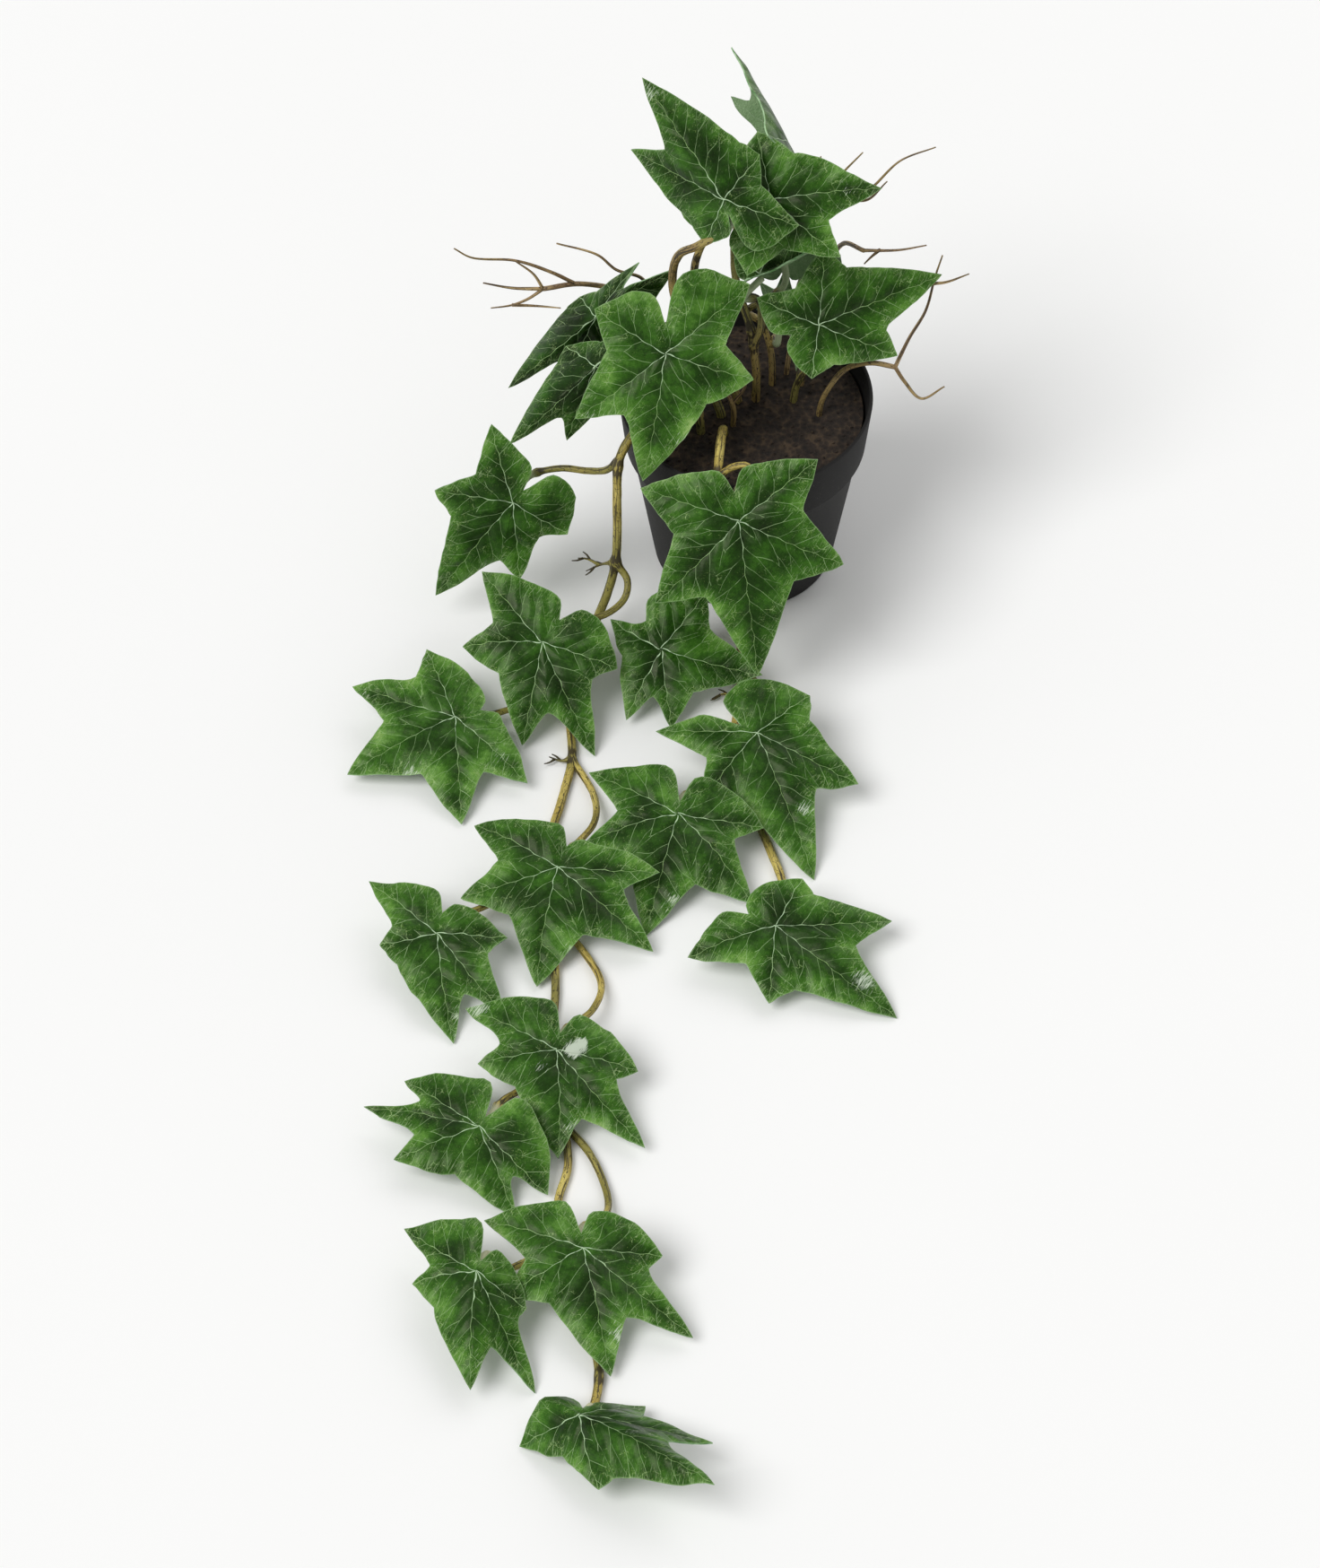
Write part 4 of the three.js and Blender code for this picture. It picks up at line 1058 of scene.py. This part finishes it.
def press_leaf(pattern, name, order, finishes):
    """Presses one leaf from the pattern: margin, curved veins, puckers, waves, fold and droop."""
    leaf = LEAVES[name]
    look = bpy.context.scene.ivy_leaves
    axes = attitude(leaf)
    edge = outline(leaf)
    # The cut margin is uneven by about half a millimetre every 4 mm.
    out = np.linalg.norm(edge, axis=1)
    ripple = wobble(edge, 4.6, order * 3.1 + 7) * 0.6 + wobble(edge, 1.9, order * 3.1 + 9) * 0.2
    edge = edge * (1 + ripple * np.clip(out / 14, 0, 1) / out)[:, None]
    blade = pattern.copy()
    blade.data = pattern.data.copy()
    bpy.context.scene.collection.objects.link(blade)
    mesh = blade.data
    net = net_places(mesh)
    ring = np.hypot(net[:, 0], net[:, 1])
    spoke = np.round(np.arctan2(net[:, 1], net[:, 0]) / (2 * math.pi) * SPOKES).astype(int) % SPOKES
    plain = edge[spoke] * ring[:, None]
    # Main veins curve a little to one side, each by its own amount, up to a twentieth of its length.
    flat = plain.copy()
    for lobe, (bearing, length) in enumerate(leaf["lobes"]):
        gap = np.abs((spoke - lobe * LOBE_SPOKES + SPOKES // 2) % SPOKES - SPOKES // 2)
        weight = np.cos(np.clip(gap / (LOBE_SPOKES / 2), 0, 1) * math.pi / 2) ** 2
        bend = noise.noise(Vector((order * 3.7, lobe * 5.3, 1.9))) * 0.06 * length
        flat += (np.sin(ring * math.pi) * weight * bend)[:, None] * polar(bearing + 90, 1)
    margin = margin_distance(flat, edge)
    directions = np.array([polar(bearing, 1) for bearing, _ in leaf["lobes"]])
    facing = directions[[nearest_lobe(s)[0] for s in spoke]]
    from_vein = np.abs(facing[:, 0] * plain[:, 1] - facing[:, 1] * plain[:, 0])
    past = np.clip((plain * facing).sum(axis=1) / 4, 0, 1)
    pucker = look.pucker / MM * (1 - np.exp(-from_vein / 3.2)) * (1 - np.exp(-margin / 5)) * past
    roll = wobble(flat, 15, order * 2.3) * 0.9 + wobble(flat, 6.5, order * 2.3 + 40) * 0.35
    waves = look.wave / MM * wobble(flat, 11, order * 1.7 + 80) * np.exp(-margin / 6) * 2
    sunk = np.clip(np.hypot(flat[:, 0], flat[:, 1]) / 8, 0, 1)
    lift = pucker + (roll + waves) * sunk
    body = plain_surface(leaf, axes, flat) + lift[:, None] * axes[2]
    home = junction(leaf)
    if len(leaf["at"]) == 2:
        low = (body[:, 2] + home[2]).min() - look.thickness / MM / 2
        home = home + np.array([0, 0, max(0.0, 0.15 - low)])
    set_places(mesh, body + home)
    # Rub marks and a painted white highlight, one value per vertex.
    rub_and_glint_spots = np.zeros(len(flat))
    for bearing, distance, size, strength in RUBS_AND_PAINTED_GLINTS.get(name, []):
        gone = np.linalg.norm(flat - polar(bearing, distance), axis=1) / size
        rub_and_glint_spots = np.maximum(rub_and_glint_spots, strength * np.exp(-gone**2))
    tone = np.full(len(flat), leaf.get("tone", 0.0))
    note_values(mesh, margin=margin, reach=np.linalg.norm(plain, axis=1), rub=rub_and_glint_spots, tone=tone)
    lay_vein_print(mesh, spoke, ring, plain, directions, order)
    mesh.update()
    if leaf.get("under"):
        with edit_mode(blade):
            bpy.ops.mesh.flip_normals()
    for finish in finishes:
        mesh.materials.append(finish)
    take_in_hand(blade)
    wall = blade.modifiers.new("blade_thickness", "SOLIDIFY")
    wall.thickness = look.thickness
    wall.offset = 0
    wall.material_offset = 1
    wall.material_offset_rim = 2
    bpy.ops.object.modifier_apply(modifier=wall.name)
    bpy.ops.object.shade_smooth_by_angle(angle=math.radians(50))
    return blade


def lay_vein_print(mesh, spoke, ring, plain, directions, order):
    """Lays out the two prints on every face corner, in millimetres: along and across the side veins of
    the nearest main vein, and flat on the cloth."""
    vein_uv = np.empty((len(mesh.loops), 2))
    sheet_uv = np.empty((len(mesh.loops), 2))
    # Each leaf has its own part of the print, and each lobe its own stretch of side veins.
    offset = np.array([order * 173.0, order * 91.0])
    for face in mesh.polygons:
        corners = list(face.vertices)
        spokes = [int(spoke[i]) for i in corners if ring[i] > 1e-6]
        if max(spokes) - min(spokes) > SPOKES / 2:
            spokes = [s + SPOKES if s < SPOKES / 2 else s for s in spokes]
        lobe, side = nearest_lobe((min(spokes) + max(spokes)) / 2)
        direction = directions[lobe]
        for loop, i in zip(face.loop_indices, corners):
            s = plain[i] @ direction
            t = direction[0] * plain[i][1] - direction[1] * plain[i][0]
            away = abs(t)
            # Side veins run 0.9 mm outwards for each mm sideways and bend further outwards.
            place = s - 0.9 * away - 0.008 * away * away
            vein_uv[loop] = (place + side * SIDE_VEIN_STEP / 4 + lobe * 100 * SIDE_VEIN_STEP, t)
            sheet_uv[loop] = plain[i] + offset
    for name, print_uv in (("veins", vein_uv), ("sheet", sheet_uv)):
        layer = mesh.uv_layers.new(name=name)
        layer.data.foreach_set("uv", print_uv.astype(np.float32).ravel())


# ---------------------------------------------------------------- canes


def draw_cane(line, radii, pale, stain, seed):
    """A closed round cane along a line: a flat grid is rolled up around it and its seam and ends are
    closed. Its bark map is in millimetres around and along. It stays clear of the floor."""
    line = line.copy()
    line[:, 2] = np.maximum(line[:, 2], np.array(radii) * 1.08 + 0.1)
    sides = bpy.context.scene.ivy_stems.sides
    rows = len(line) + 1
    clear_selection()
    bpy.ops.mesh.primitive_grid_add(x_subdivisions=sides, y_subdivisions=rows, size=1, location=(0, 0, 0))
    cane = bpy.context.object
    mesh = cane.data
    net = net_places(mesh)
    around = np.round((net[:, 0] + 0.5) * sides).astype(int)
    row = np.round((net[:, 1] + 0.5) * rows).astype(int)
    ways = np.gradient(line, axis=0)
    ways /= np.linalg.norm(ways, axis=1)[:, None]
    rims = []
    first = np.cross(ways[0], (0.0, 0.0, 1.0) if abs(ways[0][2]) < 0.9 else (1.0, 0.0, 0.0))
    for way in ways:
        first = first - way * (first @ way)
        first /= np.linalg.norm(first)
        rims.append((first, np.cross(way, first)))
    ring = np.clip(row - 1, 0, len(line) - 1)
    angle = around / sides * 2 * math.pi
    right = np.array([r[0] for r in rims])[ring]
    up = np.array([r[1] for r in rims])[ring]
    thick = np.array(radii)[ring]
    rough = np.array([
        1 + 0.07 * noise.noise(Vector((math.cos(a) * 1.1, math.sin(a) * 1.1, r * 0.28 + seed)))
        for a, r in zip(angle, ring)
    ])
    thick = thick * rough
    thick[(row == 0) | (row == rows)] = 0
    body = line[ring] + (right * np.cos(angle)[:, None] + up * np.sin(angle)[:, None]) * thick[:, None]
    body[row == 0] -= ways[0] * radii[0] * 0.5
    body[row == rows] += ways[-1] * radii[-1] * 0.5
    set_places(mesh, body)
    note_values(mesh, pale=pale[ring], stain=stain[ring])
    layer = mesh.uv_layers[0]
    layer.name = "bark"
    print_uv = np.empty(len(mesh.loops) * 2)
    layer.data.foreach_get("uv", print_uv)
    print_uv = print_uv.reshape(-1, 2)
    print_uv *= (2 * math.pi * max(radii), distances(line)[-1])
    print_uv += (seed * 13.7, seed * 31.3)
    layer.data.foreach_set("uv", print_uv.astype(np.float32).ravel())
    with edit_mode(cane):
        bpy.ops.mesh.remove_doubles(threshold=1e-6)
        bpy.ops.mesh.normals_make_consistent(inside=False)
    bpy.ops.object.shade_smooth()
    return cane


def cane_profile(line, radius, leaf, knuckles, start_taper, end_taper):
    """Radius, paleness and stain at each point of a cane: knuckles, the swollen collar before a leaf
    and the bare sleeve that the leaf is plugged into."""
    steps = distances(line)
    share = steps / steps[-1]
    radii = radius * (start_taper + (end_taper - start_taper) * share)
    pale = np.zeros(len(line))
    stain = np.zeros(len(line))
    for centre, size in knuckles:
        gone = np.linalg.norm(line - np.array(centre), axis=1)
        bulge = np.exp(-(gone / 1.9) ** 2)
        radii = np.maximum(radii, radii + (size - radii) * bulge)
        stain = np.maximum(stain, np.exp(-((gone - 2.0) / 1.4) ** 2))
    if leaf:
        left = steps[-1] - steps
        # The sleeve begins with a sharp step and widens a little towards the leaf.
        sleeve = 1 / (1 + np.exp((left - SLEEVE_LENGTH) / 0.35))
        radii = radii * (1 - sleeve) + (SLEEVE_R - 0.012 * left) * sleeve
        collar = np.exp(-((left - SLEEVE_LENGTH - 1.1) / 1.5) ** 2)
        radii = radii + (COLLAR_R - radii) * np.where(radii < COLLAR_R, collar, 0)
        pale = sleeve
        stain = np.maximum(stain, np.exp(-((left - SLEEVE_LENGTH - 3.1) / 1.2) ** 2))
    return radii, pale, stain


def grow(name, limbs, order, taper):
    """Grows one stem, vine or twig from its limbs, and joins them into one piece."""
    step = bpy.context.scene.ivy_stems.step / MM
    canes = []
    for count, limb in enumerate(limbs):
        radius, points = limb[0], list(limb[1])
        leaf = limb[2] if len(limb) > 2 else None
        if leaf:
            points += stalk_end(leaf)
        if count == 0:
            x, y, z = points[0]
            points.insert(0, (x, y, z - ROOT_DEPTH))
        line = smooth_line(points, step)
        if leaf:
            radius *= STALK_SWELL
        elif radius == VINE_CAD_R:
            radius = VINE_R
        aerial = radius <= AERIAL_ROOT_R
        start_taper = 1.35 if aerial else 1.08
        end_taper = 0.4 if aerial or (taper and count > 0) else 0.9
        radii, pale, stain = cane_profile(
            line, radius, leaf, KNUCKLES.get(name, []), start_taper, end_taper,
        )
        if aerial:
            stain = np.linspace(0, 1.15, len(line)) ** 2
        seed = order * 7.1 + count * 1.3
        canes.append(draw_cane(line, radii, pale, stain, seed))
        if aerial:
            canes += root_prongs(line, radius, seed)
    return join_pieces(canes)


def root_prongs(line, radius, seed):
    """Two short side prongs on an aerial root."""
    prongs = []
    for place, side in ((0.45, 1), (0.7, -1)):
        start = line[int(len(line) * place)]
        way = line[-1] - line[0]
        way = way / np.linalg.norm(way)
        across = np.cross(way, (0.0, 0.0, 1.0))
        tip = start + way * 3.4 + across * side * 2.6
        tip[2] = max(tip[2], 0.7)
        prong = smooth_line([start, (start + tip) / 2 + across * side * 0.5, tip], 0.8)
        radii = np.linspace(radius, radius * 0.4, len(prong))
        prongs.append(draw_cane(prong, radii, np.zeros(len(prong)), np.full(len(prong), 1.2), seed + side))
    return prongs


def grow_all(plan, first, slot, cane, taper=False):
    """Grows every piece of a plan in one cane material. The first number sets their bark apart."""
    for order, (name, limbs) in enumerate(plan.items(), first):
        finish_piece(grow(name, limbs, order, taper), name, slot, cane)


# ---------------------------------------------------------------- operators


class IVY_OT_studio(bpy.types.Operator):
    """Set the camera at the picture's viewing angle, the paper floor and the soft lights"""

    bl_idname = "ivy.studio"
    bl_label = "Studio"

    def execute(self, context):
        look = context.scene.ivy_studio
        back = Vector((
            math.sin(look.azimuth) * math.cos(look.elevation),
            -math.cos(look.azimuth) * math.cos(look.elevation),
            math.sin(look.elevation),
        ))
        bpy.ops.object.camera_add(location=Vector(CAMERA_TARGET) + back * look.distance)
        camera = context.object
        camera.name = "camera"
        camera.rotation_euler = (-back).to_track_quat("-Z", "Y").to_euler()
        camera.data.lens = look.lens
        camera.data.clip_start = 0.05
        context.scene.camera = camera

        clear_selection()
        bpy.ops.mesh.primitive_plane_add(size=FLOOR_SIZE, location=(0, 0, 0))
        floor = context.object
        floor.name = "paper_floor"
        with edit_mode(floor):
            bpy.ops.mesh.subdivide(number_cuts=6)
        floor.data.materials.append(studio_paper())

        world = bpy.data.worlds.new("soft_room")
        world.use_nodes = True
        room = world.node_tree.nodes["Background"].inputs
        room["Color"].default_value = paint("#ffffff")
        room["Strength"].default_value = ROOM_LIGHT
        context.scene.world = world
        for name, (stand, size, share) in SOFTBOXES.items():
            bpy.ops.object.light_add(type="SUN", location=stand)
            lamp = context.object
            lamp.name = name
            lamp.data.angle = math.radians(size)
            lamp.data.energy = look.key * share
            lamp.rotation_euler = Vector(stand).to_track_quat("Z", "Y").to_euler()
        context.scene.view_settings.view_transform = "Standard"
        return {"FINISHED"}


class IVY_OT_pot(bpy.types.Operator):
    """Turn the pot from its half section, with its rim band and rounded edges"""

    bl_idname = "ivy.pot"
    bl_label = "Pot"

    def execute(self, context):
        look = context.scene.ivy_pot
        rim, top = look.rim_radius / MM, look.height / MM
        step_in = POT_STEP_Z + POT_WALL
        section = [
            (POT_BASE_R - 4, 0.6), (POT_BASE_R - 3.2, 0), (POT_BASE_R - 1.2, 0),
            (POT_BASE_R - 0.3, 0.4), (POT_BASE_R + 0.1, 1.5), (POT_STEP_R - 0.1, POT_STEP_Z - 0.5),
            (POT_STEP_R + 0.2, POT_STEP_Z - 0.1), (POT_BAND_R - 0.5, POT_STEP_Z),
            (POT_BAND_R, POT_STEP_Z + 0.5), (rim - 0.1, top - 0.9), (rim - 0.25, top - 0.3),
            (rim - 0.8, top), (rim - 1.3, top - 0.2), (rim - POT_WALL, top - 0.8),
            (POT_BAND_R - POT_WALL, step_in), (POT_STEP_R - POT_WALL, step_in),
            (POT_BASE_R - POT_WALL, POT_FLOOR),
        ]
        foot_r, foot_z = section[0]
        clear_selection()
        bpy.ops.mesh.primitive_circle_add(
            vertices=look.sides, radius=foot_r * MM, location=(0, 0, foot_z * MM),
        )
        pot = context.object
        with edit_mode(pot):
            for (r0, z0), (r1, z1) in zip(section, section[1:]):
                bpy.ops.mesh.extrude_region_move(TRANSFORM_OT_translate={"value": (0, 0, (z1 - z0) * MM)})
                bpy.ops.transform.resize(value=(r1 / r0, r1 / r0, 1))
            bpy.ops.mesh.edge_face_add()
            bpy.ops.mesh.poke()
            bpy.ops.mesh.select_all(action="DESELECT")
        bpy.ops.object.transform_apply(location=True, rotation=True, scale=True)
        for vertex in pot.data.vertices:
            at_base = abs(vertex.co.z - foot_z * MM) < 1e-6
            out = math.hypot(vertex.co.x, vertex.co.y)
            vertex.select = at_base and abs(out - foot_r * MM) < 1e-5
        bpy.ops.object.mode_set(mode="EDIT")
        bpy.ops.mesh.select_mode(type="VERT")
        bpy.ops.mesh.edge_face_add()
        bpy.ops.mesh.poke()
        bpy.ops.mesh.select_all(action="SELECT")
        bpy.ops.mesh.normals_make_consistent(inside=False)
        bpy.ops.object.mode_set(mode="OBJECT")
        bpy.ops.object.shade_smooth_by_angle(angle=math.radians(35))
        finish_piece(pot, "pot", "pot_plastic", black_plastic())
        return {"FINISHED"}


class IVY_OT_fill(bpy.types.Operator):
    """Fill the pot with potting mix: a low uneven mound with loose crumbs"""

    bl_idname = "ivy.fill"
    bl_label = "Fill"

    def execute(self, context):
        radius = POT_BAND_R - POT_WALL - GAP + SOIL_OVERLAP
        bottom_r, bottom_z = radius - 1.2, POT_STEP_Z + 2.2
        clear_selection()
        bpy.ops.mesh.primitive_circle_add(
            vertices=96, radius=bottom_r * MM, location=(0, 0, bottom_z * MM), fill_type="TRIFAN",
        )
        fill = context.object
        with edit_mode(fill):
            bpy.ops.mesh.extrude_region_move(
                TRANSFORM_OT_translate={"value": (0, 0, (SOIL_TOP - bottom_z) * MM)},
            )
            bpy.ops.transform.resize(value=(radius / bottom_r, radius / bottom_r, 1))
            for _ in range(SOIL_RINGS):
                bpy.ops.mesh.inset(thickness=SOIL_RING_STEP * MM)
            bpy.ops.mesh.select_all(action="SELECT")
            bpy.ops.mesh.normals_make_consistent(inside=False)
        bpy.ops.object.transform_apply(location=True, rotation=True, scale=True)
        for vertex in fill.data.vertices:
            if vertex.co.z > (SOIL_TOP - 0.5) * MM:
                out = math.hypot(vertex.co.x, vertex.co.y) / (radius * MM)
                rough = noise.noise(vertex.co / (6 * MM)) * 0.7 + noise.noise(vertex.co / (2 * MM)) * 0.45
                vertex.co.z += (SOIL_DOME * (1 - out * out) + rough * min(1, (1 - out) * 8)) * MM
        bpy.ops.object.shade_smooth_by_angle(angle=math.radians(60))
        crumbs = [fill]
        for number in range(CRUMBS):
            spin = number * CRUMB_TURN
            out = math.sqrt((number + 0.5) / CRUMBS) * (radius - 2.2)
            size = 0.55 + 0.6 * abs(noise.noise(Vector((number * 0.71, 3.3, 0.2))))
            x, y = out * math.cos(spin), out * math.sin(spin)
            level = SOIL_TOP + SOIL_DOME * (1 - (out / radius) ** 2)
            bpy.ops.mesh.primitive_ico_sphere_add(
                subdivisions=1, radius=size * MM, location=(x * MM, y * MM, (level + 0.1) * MM),
                rotation=(number * 0.9, number * 1.7, 0), scale=(1.0, 0.75, 0.6),
            )
            crumbs.append(context.object)
        fill = join_pieces(crumbs)
        bpy.ops.object.transform_apply(location=True, rotation=True, scale=True)
        finish_piece(fill, "soil_fill", "soil", potting_soil())
        return {"FINISHED"}


class IVY_OT_vines(bpy.types.Operator):
    """Lay the two trailing vines over the rim and along the floor"""

    bl_idname = "ivy.vines"
    bl_label = "Trailing vines"

    def execute(self, context):
        colour = (*context.scene.ivy_stems.vine_colour, 1.0)
        cane = moulded_cane("tinted_vine_cane", colour, "#cdbb66", "#706e2b", "#231907", "#cfd0b0")
        grow_all(VINES, 0, "vine_bark", cane)
        return {"FINISHED"}


class IVY_OT_stems(bpy.types.Operator):
    """Stand the leafy stems in the fill"""

    bl_idname = "ivy.stems"
    bl_label = "Leafy stems"

    def execute(self, context):
        colour = (*context.scene.ivy_stems.bark_colour, 1.0)
        cane = moulded_cane("tinted_stem_cane", colour, "#b39d5b", "#77763c", "#21170c", "#9aac86")
        grow_all(STEMS, 10, "twig_bark", cane)
        return {"FINISHED"}


class IVY_OT_twigs(bpy.types.Operator):
    """Stand the bare twigs in the fill"""

    bl_idname = "ivy.twigs"
    bl_label = "Bare twigs"

    def execute(self, context):
        colour = paint("#7d6443")
        cane = moulded_cane("tinted_twig_cane", colour, "#b99f70", "#84703f", "#2f231a", "#b99f70")
        grow_all(TWIGS, 30, "twig_bark", cane, taper=True)
        return {"FINISHED"}


class IVY_OT_leaves(bpy.types.Operator):
    """Press the twenty-six leaves and set each on its stalk"""

    bl_idname = "ivy.leaves"
    bl_label = "Leaves"

    def execute(self, context):
        finishes = upper_leaf(), under_leaf(), cut_leaf()
        pattern = leaf_pattern()
        for order, name in enumerate(LEAVES):
            finish_piece(press_leaf(pattern, name, order + 1, finishes), name, "leaf")
        bpy.data.objects.remove(pattern)
        return {"FINISHED"}


class IVY_PT_workshop(bpy.types.Panel):
    """The ivy's steps and settings in the sidebar"""

    bl_idname = "IVY_PT_workshop"
    bl_label = "Potted ivy"
    bl_space_type = "VIEW_3D"
    bl_region_type = "UI"
    bl_category = "Ivy"

    def draw(self, context):
        scene = context.scene
        for group, operators in (
            (scene.ivy_studio, (IVY_OT_studio,)),
            (scene.ivy_pot, (IVY_OT_pot, IVY_OT_fill)),
            (scene.ivy_stems, (IVY_OT_vines, IVY_OT_stems, IVY_OT_twigs)),
            (scene.ivy_leaves, (IVY_OT_leaves,)),
        ):
            box = self.layout.box()
            for key in group.bl_rna.properties.keys():
                if key not in ("rna_type", "name"):
                    box.prop(group, key)
            for operator in operators:
                box.operator(operator.bl_idname)


SETTINGS = {
    "ivy_studio": IvyStudioSettings,
    "ivy_pot": IvyPotSettings,
    "ivy_stems": IvyStemSettings,
    "ivy_leaves": IvyLeafSettings,
}
OPERATORS = (
    IVY_OT_studio, IVY_OT_pot, IVY_OT_fill, IVY_OT_vines, IVY_OT_stems, IVY_OT_twigs, IVY_OT_leaves,
)


def register():
    """Adds the settings, operators and panel to Blender."""
    for name, group in SETTINGS.items():
        bpy.utils.register_class(group)
        setattr(bpy.types.Scene, name, PointerProperty(type=group))
    for operator in OPERATORS:
        bpy.utils.register_class(operator)
    bpy.utils.register_class(IVY_PT_workshop)


def unregister():
    """Takes them away again."""
    bpy.utils.unregister_class(IVY_PT_workshop)
    for operator in reversed(OPERATORS):
        bpy.utils.unregister_class(operator)
    for name, group in SETTINGS.items():
        delattr(bpy.types.Scene, name)
        bpy.utils.unregister_class(group)


def main():
    """Makes the whole ivy."""
    register()
    bpy.ops.ivy.studio()
    bpy.ops.ivy.pot()
    bpy.ops.ivy.fill()
    bpy.ops.ivy.vines()
    bpy.ops.ivy.stems()
    bpy.ops.ivy.twigs()
    bpy.ops.ivy.leaves()
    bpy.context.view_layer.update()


if __name__ == "__main__":
    main()
